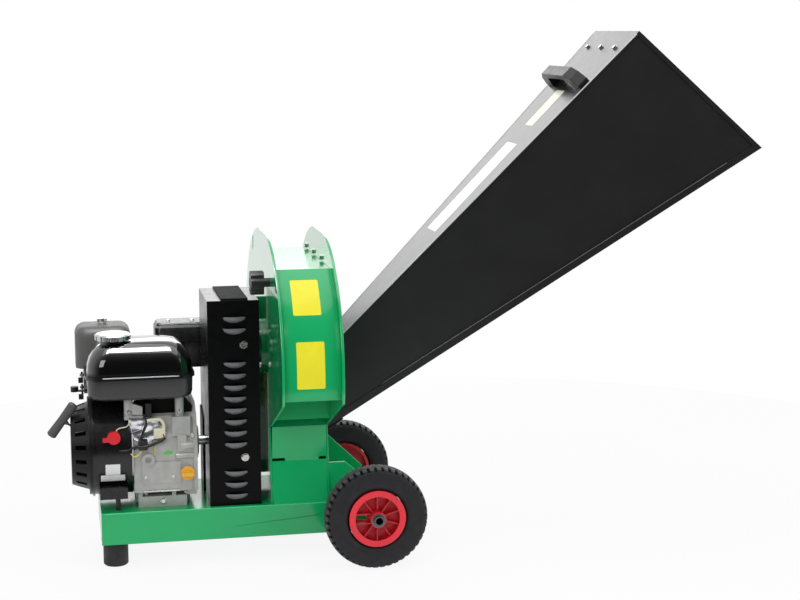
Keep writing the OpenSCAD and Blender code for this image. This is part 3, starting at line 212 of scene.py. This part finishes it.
MATERIALS = {
    "green": paint("green_gloss", (0.006, 0.41, 0.13), 0.14),
    "green_plate": paint("green_gloss_plate", (0.008, 0.40, 0.135), 0.13, lacquer=0.8),
    # Painted highlight: a lighter copy of the green for the bead along the tray's fold
    "green_fold_highlight": paint("green_fold_painted_highlight", (0.04, 0.62, 0.24), 0.16),
    "hopper": powder("hopper_black", (0.015, 0.015, 0.0155), 0.34, wander=0.02, relief=0.00005),
    "hopper_lid": powder("hopper_top_black", (0.012, 0.012, 0.0125), 0.30, 0.45, wander=0.015,
                         relief=0.00003),
    "guard": powder("guard_black", (0.0015, 0.0015, 0.0016), 0.42, specular=0.13),
    # Painted light: a lighter, glossier copy of the guard's black for its top and left faces, where the light
    # falls
    "guard_top": paint("guard_top_black", (0.006, 0.006, 0.0065), 0.26),
    "guard_ridge": powder("guard_ridge_black", (0.003, 0.003, 0.003), 0.7, specular=0.1),
    # Painted highlight: a grey copy of the guard's black for the louvres' raised faces, for the light they
    # catch
    "louvre_painted_light": powder("louvre_inside_painted_highlight", (0.15, 0.15, 0.16), 0.28),
    "shroud": powder("engine_black", (0.0055, 0.005, 0.006), 0.26),
    "recoil": powder("recoil_black", (0.004, 0.004, 0.0045), 0.38, specular=0.3),
    "tank": paint("tank_black", (0.0015, 0.0015, 0.002), 0.06, peel=300, relief=0.00004, lacquer=1.0),
    "tank_low": paint("tank_black_low", (0.032, 0.032, 0.033), 0.24, peel=300, relief=0.00006),
    "tank_seam": paint("tank_black_seam", (0.010, 0.010, 0.011), 0.16, peel=300, relief=0.00005),
    "muffler": powder("muffler_black", (0.012, 0.012, 0.013), 0.28),
    "muffler_lid": powder("muffler_lid_grey", (0.20, 0.20, 0.205), 0.35),
    "tyre": rubber("tyre_rubber", (0.014, 0.014, 0.016), 0.62),
    "tyre_lug": rubber("tyre_lug_rubber", (0.085, 0.083, 0.086), 0.60),
    "foot": rubber("foot_rubber", (0.022, 0.022, 0.022), 0.55),
    "belt": rubber("belt_rubber", (0.015, 0.015, 0.015), 0.6),
    # Painted light and shade: one red rim moulding in three shades, its faces that point out of the wheel's
    # sides lighter than the rest
    "rim": plastic("rim_red", (0.50, 0.008, 0.016), 0.28),
    "rim_flat_painted_light": plastic("rim_red_flat_painted_light", (0.80, 0.022, 0.040), 0.24),
    "rim_web_painted_light": plastic("rim_red_web_painted_light", (0.68, 0.006, 0.018), 0.40),
    "switch": plastic("switch_red", (0.70, 0.012, 0.025), 0.25),
    "dipstick": plastic("dipstick_yellow", (0.83, 0.43, 0.035), 0.32),
    "knob": plastic("knob_black", (0.012, 0.012, 0.012), 0.42),
    "grip": plastic("grip_black", (0.075, 0.075, 0.076), 0.55, pebble=700, relief=0.0003),
    "filter": plastic("filter_grey", (0.105, 0.103, 0.102), 0.5),
    "alloy": cast("case_alloy", (0.44, 0.44, 0.425), 0.45),
    "fins": cast("fin_alloy", (0.34, 0.34, 0.33), 0.5),
    "steel_x": steel("steel_turned", (0.58, 0.58, 0.59), 0.30, (0.05, 1, 1)),
    "steel_dark": steel("steel_oiled", (0.16, 0.16, 0.17), 0.40, (1, 0.05, 1)),
    "zinc": steel("zinc_plate", (0.72, 0.72, 0.70), 0.26, scale=300),
    "chrome": steel("cap_chrome", (0.56, 0.56, 0.565), 0.26, scale=150),
    "foil": foil("coil_foil", (0.78, 0.78, 0.84), 0.14),
    "seam": powder("seam_grey", (0.10, 0.10, 0.10), 0.30),
    # Painted highlight: pale grey for beads along edges and seams that catch the light
    "edge": powder("edge_painted_highlight", (0.60, 0.60, 0.60), 0.35),
}

FINISH = {
    "green": ["base_frame", "base_skirts", "base_ends", "gusset", "front_cover", "drum_band",
              "discharge_deflector", "discharge_ramp", "guard_back_plate", "bearing_cartridge"],
    "green_plate": ["left_side_plate", "right_side_plate"],
    "hopper": ["hopper_near_side", "hopper_far_side", "hopper_top", "hopper_floor", "hopper_flange",
               "mouth_stiffener"],
    "guard": ["belt_guard", "guard_face"],
    "shroud": ["fan_shroud", "valve_cover"],
    "recoil": ["recoil_housing"],
    "tank": ["fuel_tank"],
    "muffler": ["muffler"],
    "tyre": ["tyre_near", "tyre_far"],
    "foot": ["feet", "spark_plug"],
    "belt": ["drive_belt", "recoil_rope"],
    "rim": ["rim_near", "rim_far"],
    "switch": ["stop_switch"],
    "dipstick": ["dipstick"],
    "knob": ["clamp_knob", "choke_lever", "fuel_lever", "throttle_lever", "hopper_handle"],
    "grip": ["recoil_grip"],
    "filter": ["air_filter"],
    "alloy": ["crankcase", "side_cover"],
    "fins": ["cylinder_barrel", "carburettor", "flywheel"],
    "steel_x": ["rotor_shaft", "cutter_disc", "knives", "paddles", "rotor_pulley", "engine_pulley",
                "crankshaft", "bearings", "anvil"],
    "steel_dark": ["axle", "axle_clips"],
    "zinc": ["bolts"],
    "chrome": ["fuel_cap"],
}
for finish, names in FINISH.items():
    for name in names:
        mesh = NODES[name].data
        mesh.materials.clear()
        mesh.materials.append(MATERIALS[finish])


def finish_faces(name, rule):
    """Gives faces of a node another finish, where rule names one for a face's middle (mm) and normal."""
    mesh = NODES[name].data
    slots = {}
    for face in mesh.polygons:
        middle = (face.center - Vector((AXLE.x, 0, 0))) * 1000
        finish = rule(middle, face.normal)
        if finish is None:
            continue
        if finish not in slots:
            slots[finish] = len(mesh.materials)
            mesh.materials.append(MATERIALS[finish])
        face.material_index = slots[finish]


# Places on the nodes, in millimetres, where one finish ends and the next begins
WHEEL_Y, AXLE_Z = 202.0, 104.0
TREAD_R = 100.5
RIM_FACE_OUT, WEB_HALF = 20.0, 4.0
GUARD_TOP_Z, GUARD_RIDGE_Z = 534.5, 535.2
LOUVRE_X, LOUVRE_HALF, LOUVRE_FRONT_Y = -268.0, 22.0, -105.2
TANK_LOW_Z, TANK_SEAM_Z = 383.0, 396.5
MUFFLER_LID_Z, FILTER_NUT_Z = 452.0, 465.2
FLAT = 0.9


def wheel_part(middle):
    """Radius of a point about its wheel's axis, and how far it stands out from the wheel's middle plane."""
    return math.hypot(middle.x, middle.z - AXLE_Z), abs(middle.y) - WHEEL_Y


# Painted light: faces that point out of the wheel's sides get the lighter reds, on the outer ring and on the
# web
def rim_rule(middle, normal):
    out = wheel_part(middle)[1]
    if abs(normal.y) < FLAT:
        return None
    return "rim_flat_painted_light" if out > RIM_FACE_OUT else "rim_web_painted_light" if abs(out) < WEB_HALF else None


def tyre_rule(middle, normal):
    return "tyre_lug" if wheel_part(middle)[0] > TREAD_R else None


# Painted light: the top and left faces get the lighter copy of the guard's black; faces over the ridge are its
# matte pad
def guard_rule(middle, normal):
    if middle.z > GUARD_RIDGE_Z:
        return "guard_ridge"
    on_top = middle.z > GUARD_TOP_Z and normal.z > FLAT
    return "guard_top" if on_top or normal.x < -FLAT else None


# Painted highlight: the louvres' raised faces that point downwards get the grey copy of the guard's black
def louvre_rule(middle, normal):
    raised = middle.y < LOUVRE_FRONT_Y and abs(middle.x - LOUVRE_X) < LOUVRE_HALF
    return "louvre_painted_light" if raised and normal.z < -0.05 else None


def tank_rule(middle, normal):
    return "tank_low" if middle.z < TANK_LOW_Z else "tank_seam" if middle.z < TANK_SEAM_Z else None


def muffler_rule(middle, normal):
    return "muffler_lid" if middle.z > MUFFLER_LID_Z and normal.z > 0.3 else None


def filter_rule(middle, normal):
    return "zinc" if middle.z > FILTER_NUT_Z else None


def lid_rule(middle, normal):
    return "hopper_lid" if normal.z > 0.5 else None


for name, rule in (("rim_near", rim_rule), ("rim_far", rim_rule), ("tyre_near", tyre_rule),
                   ("tyre_far", tyre_rule), ("belt_guard", guard_rule), ("guard_face", louvre_rule),
                   ("fuel_tank", tank_rule), ("muffler", muffler_rule), ("air_filter", filter_rule),
                   ("hopper_top", lid_rule)):
    finish_faces(name, rule)


WELD_GAP = 0.00002


def soften(names, width, angle=40, segments=2):
    """Rounds a node's folded or cut edges, in millimetres, so that they catch the light."""
    for name in names:
        piece = NODES[name]
        piece.modifiers.new("weld", "WELD").merge_threshold = WELD_GAP
        bevel = piece.modifiers.new("edges", "BEVEL")
        bevel.width, bevel.segments = width / 1000, segments
        bevel.limit_method, bevel.angle_limit = "ANGLE", math.radians(angle)


def round_off(names, angle=35):
    """Shades a node's facets as one curved skin, with its sharp edges kept."""
    for name in names:
        piece = NODES[name]
        for face in piece.data.polygons:
            face.use_smooth = True
        piece.modifiers.new("weld", "WELD").merge_threshold = WELD_GAP
        split = piece.modifiers.new("split", "EDGE_SPLIT")
        split.split_angle = math.radians(angle)


soften(["base_skirts", "base_ends", "left_side_plate", "right_side_plate", "front_cover", "drum_band",
        "discharge_ramp", "gusset"], 1.0)
soften(["hopper_top", "hopper_floor"], 0.9, segments=3)
soften(["hopper_flange", "belt_guard", "mouth_stiffener"], 0.8)
soften(["hopper_handle"], 1.4)
soften(["clamp_knob"], 2.6, segments=3)
soften(["crankcase", "side_cover", "carburettor", "valve_cover"], 1.2)
round_off(["fuel_tank", "air_filter", "muffler"])


# Stage: pale floor, white surroundings whose front is dark to mirrored rays, soft lamps
ROOM_STRENGTH = 0.52
ROOM_TURN, FRONT_STRENGTH = (-0.95, 0.15), 0.04
FLOOR_REACH, FLOOR_BACK, FLOOR_DROP = (1.7, 1.5), 0.2, 0.0005
FLOOR_GREY, FLOOR_GLOW = 0.86, 0.9


def light_path(tree):
    """1 for rays that show the surroundings: straight to the camera, mirrored or through glass."""
    path = tree.nodes.new("ShaderNodeLightPath")
    total = path.outputs["Is Camera Ray"]
    for name in ("Is Glossy Ray", "Is Transmission Ray"):
        node = tree.nodes.new("ShaderNodeMath")
        node.operation = "MAXIMUM"
        tree.links.new(total, node.inputs[0])
        tree.links.new(path.outputs[name], node.inputs[1])
        total = node.outputs[0]
    return path, total


def build_world():
    """White surroundings: full for the camera, dimmer as light, dark towards the front in mirrored rays."""
    world = bpy.data.worlds.new("studio")
    bpy.context.scene.world = world
    world.use_nodes = True
    tree = world.node_tree
    background = tree.nodes["Background"]
    path, shown = light_path(tree)
    coords = tree.nodes.new("ShaderNodeTexCoord")
    split = tree.nodes.new("ShaderNodeSeparateXYZ")
    tree.links.new(coords.outputs["Generated"], split.inputs[0])
    ramp = tree.nodes.new("ShaderNodeMapRange")
    ramp.interpolation_type = "SMOOTHSTEP"
    for key, number in zip(("From Min", "From Max", "To Min", "To Max"), (*ROOM_TURN, FRONT_STRENGTH, 1.0)):
        ramp.inputs[key].default_value = number
    tree.links.new(split.outputs["Y"], ramp.inputs["Value"])
    mirrored = tree.nodes.new("ShaderNodeMix")
    tree.links.new(path.outputs["Is Camera Ray"], mirrored.inputs["Factor"])
    tree.links.new(ramp.outputs["Result"], mirrored.inputs[2])
    mirrored.inputs[3].default_value = 1.0
    strength = tree.nodes.new("ShaderNodeMix")
    tree.links.new(shown, strength.inputs["Factor"])
    strength.inputs[2].default_value = ROOM_STRENGTH
    tree.links.new(mirrored.outputs[0], strength.inputs[3])
    tree.links.new(strength.outputs[0], background.inputs["Strength"])
    background.inputs["Color"].default_value = (1, 1, 1, 1)


def build_floor():
    """A pale disc that keeps a faint shadow near the object and melts into the white surroundings."""
    mesh = bpy.data.meshes.new("floor")
    ring = [(FLOOR_REACH[0] * math.cos(a), FLOOR_REACH[1] * math.sin(a) + FLOOR_BACK, -FLOOR_DROP)
            for a in (math.radians(d) for d in range(0, 360, 6))]
    mesh.from_pydata(ring, [], [list(range(len(ring)))])
    floor = bpy.data.objects.new("floor", mesh)
    bpy.context.collection.objects.link(floor)
    material = bpy.data.materials.new("floor")
    material.use_nodes = True
    tree = material.node_tree
    tree.nodes.remove(tree.nodes["Principled BSDF"])
    diffuse = tree.nodes.new("ShaderNodeBsdfDiffuse")
    diffuse.inputs["Color"].default_value = (FLOOR_GREY, FLOOR_GREY, FLOOR_GREY, 1)
    glow = tree.nodes.new("ShaderNodeEmission")
    mix = tree.nodes.new("ShaderNodeMixShader")
    share = tree.nodes.new("ShaderNodeMath")
    share.operation = "MULTIPLY"
    share.inputs[1].default_value = FLOOR_GLOW
    _, shown = light_path(tree)
    tree.links.new(shown, share.inputs[0])
    tree.links.new(share.outputs[0], mix.inputs[0])
    tree.links.new(diffuse.outputs[0], mix.inputs[1])
    tree.links.new(glow.outputs[0], mix.inputs[2])
    tree.links.new(mix.outputs[0], tree.nodes["Material Output"].inputs["Surface"])
    mesh.materials.append(material)


def lamp(name, place, aim, size, power, mirrored_only=False):
    """A soft rectangle of light; one that is only mirrored shows in gloss and lights nothing else."""
    data = bpy.data.lights.new(name, "AREA")
    data.shape, data.size, data.size_y, data.energy = "RECTANGLE", *size, power
    light = bpy.data.objects.new(name, data)
    light.location = place
    light.rotation_euler = (Vector(aim) - Vector(place)).to_track_quat("-Z", "Y").to_euler()
    light.visible_camera = False
    light.visible_diffuse = not mirrored_only
    bpy.context.collection.objects.link(light)


build_world()
build_floor()
lamp("top", (-0.1, -0.3, 3.0), (0, 0, 0.4), (3.0, 2.4), 31)
lamp("back", (0.1, 3.2, 1.8), (0, 0, 0.7), (3.4, 1.6), 30)
lamp("tank_card", at(-455, -190, 950), at(-455, -100, 430), (0.34, 0.22), 5, mirrored_only=True)
lamp("front", (-2.2, -3.4, 2.4), (-0.2, 0, 0.4), (1.8, 1.8), 42)
lamp("side", (2.8, -2.2, 1.8), (0.2, 0, 0.6), (1.6, 2.2), 26)


# Pieces
def end_piece(name, build, finish, edge=0.0, smooth=False):
    """Turns a finished bmesh into a piece of the chassis, its sharp edges rounded by edge millimetres."""
    bmesh.ops.recalc_face_normals(build, faces=build.faces)
    if edge:
        sharp = [e for e in build.edges if e.calc_face_angle(0) > math.radians(30)]
        bmesh.ops.bevel(build, geom=sharp, offset=edge / 1000, segments=2, affect="EDGES", profile=0.5)
    for face in build.faces:
        face.smooth = smooth
    mesh = bpy.data.meshes.new(name)
    build.to_mesh(mesh)
    build.free()
    mesh.materials.append(finish)
    piece = bpy.data.objects.new(name, mesh)
    bpy.context.collection.objects.link(piece)
    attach(piece, "chassis")


def loft(build, rings):
    """Skins a row of rings of points (mm), each with the same number of points, and closes both ends."""
    rows = [[build.verts.new(at(*point)) for point in ring] for ring in rings]
    count = len(rows[0])
    for first, second in zip(rows, rows[1:]):
        for i in range(count):
            j = (i + 1) % count
            build.faces.new((first[i], first[j], second[j], second[i]))
    build.faces.new(rows[0][::-1])
    build.faces.new(rows[-1])


def prism(name, outline, near, far, finish, edge=0.8):
    """A plate or block with an outline in X and Z, from one Y to another."""
    build = bmesh.new()
    loft(build, [[(x, y, z) for x, z in outline] for y in (near, far)])
    end_piece(name, build, finish, edge)


def brick(low, high):
    """Outline of an upright rectangle from its lower left and upper right corners in X and Z."""
    return [(low[0], low[1]), (high[0], low[1]), (high[0], high[1]), (low[0], high[1])]


def curve(points, steps=8, closed=False):
    """Points along a smooth line through the given ones."""
    points = [Vector(point) for point in points]
    last = len(points) - 1
    out = []
    for i in range(last + closed):
        if closed:
            p0, p1, p2, p3 = (points[(i + k) % len(points)] for k in (-1, 0, 1, 2))
        else:
            p0, p1, p2, p3 = (points[min(max(i + k, 0), last)] for k in (-1, 0, 1, 2))
        for k in range(steps):
            s = k / steps
            out.append(0.5 * (2 * p1 + (p2 - p0) * s + (2 * p0 - 5 * p1 + 4 * p2 - p3) * s ** 2
                              + (3 * p1 - p0 - 3 * p2 + p3) * s ** 3))
    return out if closed else out + [points[-1]]


def tube_rings(line, radius, sides=10, closed=False):
    """Rings of points round a line, each turned as little as may be from the one before."""
    rings = []
    side = None
    for i, point in enumerate(line):
        if closed:
            ahead = (line[(i + 1) % len(line)] - line[i - 1]).normalized()
        else:
            ahead = (line[min(i + 1, len(line) - 1)] - line[max(i - 1, 0)]).normalized()
        if side is None:
            side = ahead.orthogonal().normalized()
        side = (side - ahead * side.dot(ahead)).normalized()
        other = ahead.cross(side)
        rings.append([tuple(point + radius * (math.cos(a) * side + math.sin(a) * other))
                      for a in (2 * math.pi * k / sides for k in range(sides))])
    return rings


def tube(name, points, radius, finish, closed=False):
    """A wire or bead of one thickness along a smooth line (mm)."""
    build = bmesh.new()
    line = curve(points, closed=closed)
    rings = tube_rings(line, radius, closed=closed)
    if closed:
        rows = [[build.verts.new(at(*point)) for point in ring] for ring in rings]
        for first, second in zip(rows, rows[1:] + rows[:1]):
            for i in range(len(first)):
                j = (i + 1) % len(first)
                build.faces.new((first[i], first[j], second[j], second[i]))
    else:
        loft(build, rings)
    end_piece(name, build, finish, smooth=True)


# Height over the seat and radius of a screw's rings, as shares of its size
WASHER = ((-0.3, 0.95), (0.12, 0.95), (0.18, 0.88))
HEAD = ((0.1, 0.8), (0.62, 0.8), (0.75, 0.66))


def screws(name, places, finish):
    """Hexagon heads on washers. Each place is a seat (mm), the way the head points, and its size."""
    build = bmesh.new()
    for seat, way, size in places:
        seat, way = Vector(seat), Vector(way)
        side = way.orthogonal().normalized()
        other = way.cross(side)
        for profile, count in ((WASHER, 24), (HEAD, 6)):
            angles = [2 * math.pi * k / count for k in range(count)]
            loft(build, [[tuple(seat + size * (out * way + radius * (math.cos(a) * side + math.sin(a) * other)))
                          for a in angles] for out, radius in profile])
    end_piece(name, build, finish)


def label(name, place, width, height, finish, corner=3.0, columns=4, rows=12, seat=0.03, lift=0.25):
    """A thin stuck-on sheet with round corners. place(u, v) gives the point in millimetres and the normal
    for u across and v up, both from the label's middle."""
    build = bmesh.new()
    bends = {round(s * (height / 2 - corner * (1 - math.sin(math.radians(a)))), 4)
             for s in (-1, 1) for a in range(0, 91, 15)}
    evens = {round(height * (i / rows - 0.5) * (1 - 2 * corner / height), 4) for i in range(rows + 1)}
    steps = sorted(bends | evens)
    layers = []
    for offset in (seat, lift):
        grid = []
        for v in steps:
            into = max(0.0, abs(v) - (height / 2 - corner))
            half = width / 2 - corner + math.sqrt(max(0.0, corner ** 2 - into ** 2))
            line = []
            for i in range(columns + 1):
                point, normal = place(half * (2 * i / columns - 1), v)
                line.append(build.verts.new(at(*point) + Vector(normal) * offset / 1000))
            grid.append(line)
        layers.append(grid)
    low, top = layers
    for j in range(len(steps) - 1):
        for i in range(columns):
            build.faces.new((top[j][i], top[j][i + 1], top[j + 1][i + 1], top[j + 1][i]))
            build.faces.new((low[j + 1][i], low[j + 1][i + 1], low[j][i + 1], low[j][i]))
        for i, turn in ((0, 1), (columns, -1)):
            side = (low[j][i], top[j][i], top[j + 1][i], low[j + 1][i])
            build.faces.new(side[::turn])
    for i in range(columns):
        for j, turn in ((0, -1), (len(steps) - 1, 1)):
            side = (low[j][i], top[j][i], top[j][i + 1], low[j][i + 1])
            build.faces.new(side[::turn])
    end_piece(name, build, finish)


# Round and sloped faces that carry labels and beads: middles in Y and Z, radii, the hopper's foot in X and Z
COVER_MID, COVER_R = (-40.0, 400.0), 247.0
SHROUD_MID, SHROUD_R = (0.0, 229.0), 100.0
PLATE_X = -199.0
SLOPE, SPREAD = math.radians(45.9), math.radians(8.6)
TOP_FOOT, TOP_LEN, HALF_FOOT = (-73.0, 417.0), 903.0, 46.5


def on_round(x_mid, centre, radius, start):
    """Places a label on a face that is round about an X axis, its middle at an angle over the horizontal."""
    def place(u, v):
        a = start + v / radius
        normal = (0, -math.cos(a), math.sin(a))
        return (x_mid + u, centre[0] + radius * normal[1], centre[1] + radius * normal[2]), normal
    return place


def on_cover(x_mid, z_mid):
    return on_round(x_mid, COVER_MID, COVER_R, math.asin((z_mid - COVER_MID[1]) / COVER_R))


def on_shroud(x_mid, angle):
    return on_round(x_mid, SHROUD_MID, SHROUD_R, math.radians(angle))


def on_hopper_top(run_mid, y_mid):
    """Places a label on the hopper's top sheet: u across, v up the slope."""
    def place(u, v):
        run = run_mid + v
        normal = (-math.sin(SLOPE), 0, math.cos(SLOPE))
        return (TOP_FOOT[0] + run * math.cos(SLOPE), y_mid + u, TOP_FOOT[1] + run * math.sin(SLOPE)), normal
    return place


def on_left_plate(y_mid, z_mid):
    def place(u, v):
        return (PLATE_X, y_mid - u, z_mid + v), (-1, 0, 0)
    return place


def film(name, color, roughness):
    """Printed film: nearly flat, with a faint print screen and soft gloss."""
    g = Graph(name, color, roughness, specular=0.4)
    g.mottle(30, 0.03).sheen_wander(25, 0.05).grain(g.noise(500, 2.0), 0.00005, 0.3)
    return g.material


YELLOW_FILM = film("label_yellow", (0.88, 0.80, 0.025), 0.30)
WHITE_FILM = film("label_white", (0.80, 0.80, 0.80), 0.35)
CREAM_FILM = film("label_cream", (0.80, 0.78, 0.60), 0.35)
label("label_upper", on_cover(-142.5, 558), 54.5, 80, YELLOW_FILM)
label("label_lower", on_cover(-141, 433), 54.5, 91, YELLOW_FILM)
label("label_plate", on_left_plate(6, 345), 62, 104, YELLOW_FILM)
label("label_long", on_hopper_top(456, -1), 76, 249, WHITE_FILM)
label("label_cream", on_hopper_top(681, 0), 54, 100, CREAM_FILM)
label("label_square", on_shroud(-514, -17.3), 29, 24, WHITE_FILM, corner=1.5)
label("label_strip", on_shroud(-514, -29.3), 48, 16, WHITE_FILM, corner=1.5)

# Fittings on the engine's front
BLACK_WIRE = plastic("wire_black", (0.010, 0.010, 0.011), 0.40)
YELLOW_WIRE = plastic("wire_yellow", (0.72, 0.62, 0.10), 0.42)
CREAM_WIRE = plastic("wire_cream", (0.78, 0.74, 0.50), 0.42)
CREAM_BLOCK = plastic("block_cream", (0.74, 0.70, 0.52), 0.38)
FRESH_GREEN = plastic("dab_green", (0.10, 0.55, 0.06), 0.45)
ALLOY, ZINC, FOIL = MATERIALS["alloy"], MATERIALS["zinc"], MATERIALS["foil"]

screws("case_screws", [((-480, -93, 314), (0, -1, 0), 6), ((-379, -93, 311), (0, -1, 0), 6),
                       ((-415, -84, 127), (0, -1, 0), 7), ((-464, -70, 127), (-1, 0, 0), 6),
                       ((-355, -98, 262), (0, -1, 0), 4), ((-395, -98, 180), (0, -1, 0), 4),
                       ((-450, -98, 180), (0, -1, 0), 4)], ZINC)
prism("post_wedge", [(-483.8, 308), (-452.9, 306.5), (-452.5, 323.8), (-472.6, 330.9)], -90, -76,
      ALLOY)
prism("coil_bracket", [(-481.9, 303.8), (-480.2, 292.5), (-474.8, 273.9), (-456.9, 279.2), (-446.6, 297.1),
                       (-449.4, 302.3)], -98, -80, FOIL)
prism("coil_shell", [(-475.5, 300.7), (-456.1, 301.9), (-425.6, 299.5), (-417.9, 298.7), (-412.5, 292.7),
                     (-409.2, 283.2), (-407.4, 273), (-409.7, 261.6), (-420.9, 260.7), (-432.1, 256.9),
                     (-437.8, 250), (-457.3, 249.5), (-470.3, 257.4), (-474.9, 270.5)], -96.6, -93,
      FOIL, 1.5)
prism("coil_block", brick((-432, 260), (-409, 281)), -103, -84, CREAM_BLOCK, 2.0)
tube("coil_cap", [(-444.6, -97, 297), (-432.7, -99, 298.5), (-418.8, -100, 298.6), (-412.1, -101, 289.3),
                  (-411.4, -100, 277)], 3.2, CREAM_BLOCK)
prism("plug_cluster", brick((-463, 238), (-444, 258)), -107, -92, BLACK_WIRE, 2.5)
prism("tank_clip", brick((-447, 303), (-435, 331)), -94, -74, BLACK_WIRE, 1.5)
prism("cylinder_wrap", [(-470, 299.4), (-352, 299.4), (-352, 318), (-366, 337), (-462, 337), (-470, 330)],
      -70, -67, MATERIALS["guard"])
prism("foot_bar", brick((-454, 149.5), (-382, 153.5)), -99, -93, ZINC)
prism("leg_bracket", [(-473, 150), (-454, 143), (-454, 149), (-473, 164)], -88, -72, ALLOY)
prism("foot_clip", brick((-367, 138), (-347, 151)), -86, -66, ALLOY, 1.5)
prism("paint_dab", [(-414, 227), (-409, 225), (-398, 225.5), (-394, 228.5), (-399, 232), (-408, 232.5)],
      -96.2, -94, FRESH_GREEN, 0.4)
tube("wire_switch", [(-506, -92, 277), (-500, -91, 282), (-486, -88, 284), (-480, -86, 289.5),
                     (-479.5, -82, 299.6)], 1.3, CREAM_WIRE)
tube("wire_yellow_left", [(-478, -101, 232), (-472, -103, 226), (-464, -103, 228), (-457, -102, 237)],
     1.3, YELLOW_WIRE)
tube("wire_yellow_right", [(-429.5, -98, 252), (-429.7, -98.5, 239), (-431.5, -95.5, 229.5)],
     1.3, YELLOW_WIRE)
tube("wire_black_left", [(-501, -101, 238), (-485.5, -102, 238.6), (-473.5, -103, 244), (-460, -103, 248.7)],
     1.8, BLACK_WIRE)
tube("wire_coil", [(-449.4, -97, 306), (-445.9, -101, 290.3), (-452.1, -102, 275.5), (-456.2, -101, 257)],
     2.2, BLACK_WIRE)
tube("wire_loom", [(-471.7, -102, 241.6), (-463.3, -106, 246), (-453.6, -106, 244.6), (-441, -105, 247.3),
                   (-427, -104, 252.4), (-415.8, -104, 257.6), (-409.5, -102, 262)],
     3.4, BLACK_WIRE)
tube("wire_black_right", [(-446, -102, 246), (-430, -101, 251), (-418, -100, 255), (-411, -101, 260.5),
                          (-413.5, -102, 269)], 1.8, BLACK_WIRE)

# Painted highlights: pale beads along the tray's fold, the shroud's rim beside the crankcase and the tank's
# seam, where these edges catch the light
RIM_X, RIM_R = -474.0, SHROUD_R + 0.4
tube("tray_fold", [(x, -117.2, 114.2) for x in (-538, -390, -240, -100, 40)], 1.3,
     MATERIALS["green_fold_highlight"])
tube("shroud_rim", [(RIM_X, -RIM_R * math.cos(a), SHROUD_MID[1] + RIM_R * math.sin(a))
                    for a in (math.radians(d) for d in range(-26, 43, 4))], 1.4,
     MATERIALS["edge"])
tube("tank_seam_line", [(x, -115.4, 389) for x in (-530, -480, -430, -380)], 1.1,
     MATERIALS["edge"])

# Mounting plate on the guard's engine side, behind the crankshaft
plate_build = bmesh.new()
loft(plate_build, [[(x, y, z) for y, z in ((14, 116), (74, 116), (74, 288), (64, 288), (14, 274))]
                   for x in (-324.6, -322.2)])
end_piece("guard_bracket", plate_build, MATERIALS["guard"], 0.6)

# Lid screws and rolled edge of the muffler
MUFFLER_X, MUFFLER_Y, MUFFLER_EDGE_Z = (-407.0, -302.0), (94.0, 150.0), 456.0
MUFFLER_BENDS = ((0, 0, ((0, 8), (3, 2), (10, 0))), (1, 0, ((-10, 0), (-3, 2), (0, 8))),
                 (1, 1, ((0, -8), (-3, -2), (-10, 0))), (0, 1, ((10, 0), (3, -2), (0, -8))))
tube("muffler_edge", [(MUFFLER_X[i] + dx, MUFFLER_Y[j] + dy, MUFFLER_EDGE_Z)
                      for i, j, bend in MUFFLER_BENDS for dx, dy in bend],
     4.0, MATERIALS["muffler"], closed=True)
screws("muffler_screws", [((x, 112, 461), (0, 0, 1), 6) for x in (-385, -335)], ZINC)

# Lapped tab behind the seam under the discharge, which leaves a dark notch at each end
prism("seam_tab", brick((-168, 196), (-98, 209)), -95.5, -92.5, MATERIALS["green"])

# Painted highlights: pale beads along the folds at the top of the hopper; and the folded lips along the foot of
# its sides
FOLD_STEPS, FOLD_END = 12, TOP_LEN - 8
LIP_AT, LIP_RISE = (242.5, 476.7), 0.648


def hopper_half(x):
    """Half the hopper's width at a place along it, in millimetres."""
    return HALF_FOOT + (x - TOP_FOOT[0]) * math.tan(SPREAD)


for side, word in ((-1, "near"), (1, "far")):
    line = []
    for k in range(FOLD_STEPS + 1):
        x = TOP_FOOT[0] + FOLD_END * k / FOLD_STEPS * math.cos(SLOPE)
        z = TOP_FOOT[1] + (x - TOP_FOOT[0]) * math.tan(SLOPE)
        line.append((x + 0.4, side * (hopper_half(x) - 0.6), z - 0.4))
    tube("hopper_fold_" + word, line, 1.3, MATERIALS["edge"])
for side, word in ((-1, "near"), (1, "far")):
    tube("hopper_seam_" + word, [(x, side * (hopper_half(x) + 0.4), LIP_AT[1] + (x - LIP_AT[0]) * LIP_RISE)
                                 for x in range(40, 741, 50)], 0.9, MATERIALS["seam"])

# Starter rope between the housing and the grip
PULL = Vector((-0.8, 0, 0.6))
ROPE_EXIT, ROPE_SHOW, ROPE_IN = Vector((-594, -40, 281)), 6.0, 8.0
ROPE_R, ROPE_STEPS = 2.0, 12
rope_line = [ROPE_EXIT + PULL * (-ROPE_IN + (ROPE_IN + ROPE_SHOW) * k / ROPE_STEPS)
             for k in range(ROPE_STEPS + 1)]
rope_build = bmesh.new()
loft(rope_build, tube_rings(rope_line, ROPE_R, sides=12))
bmesh.ops.recalc_face_normals(rope_build, faces=rope_build.faces)
rope_mesh = bpy.data.meshes.new("starter_rope")
rope_build.to_mesh(rope_mesh)
rope_build.free()
rope = bpy.data.objects.new("starter_rope", rope_mesh)
bpy.context.collection.objects.link(rope)
rope_mesh.materials.append(MATERIALS["belt"])
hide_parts("recoil_rope")
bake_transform(rope)
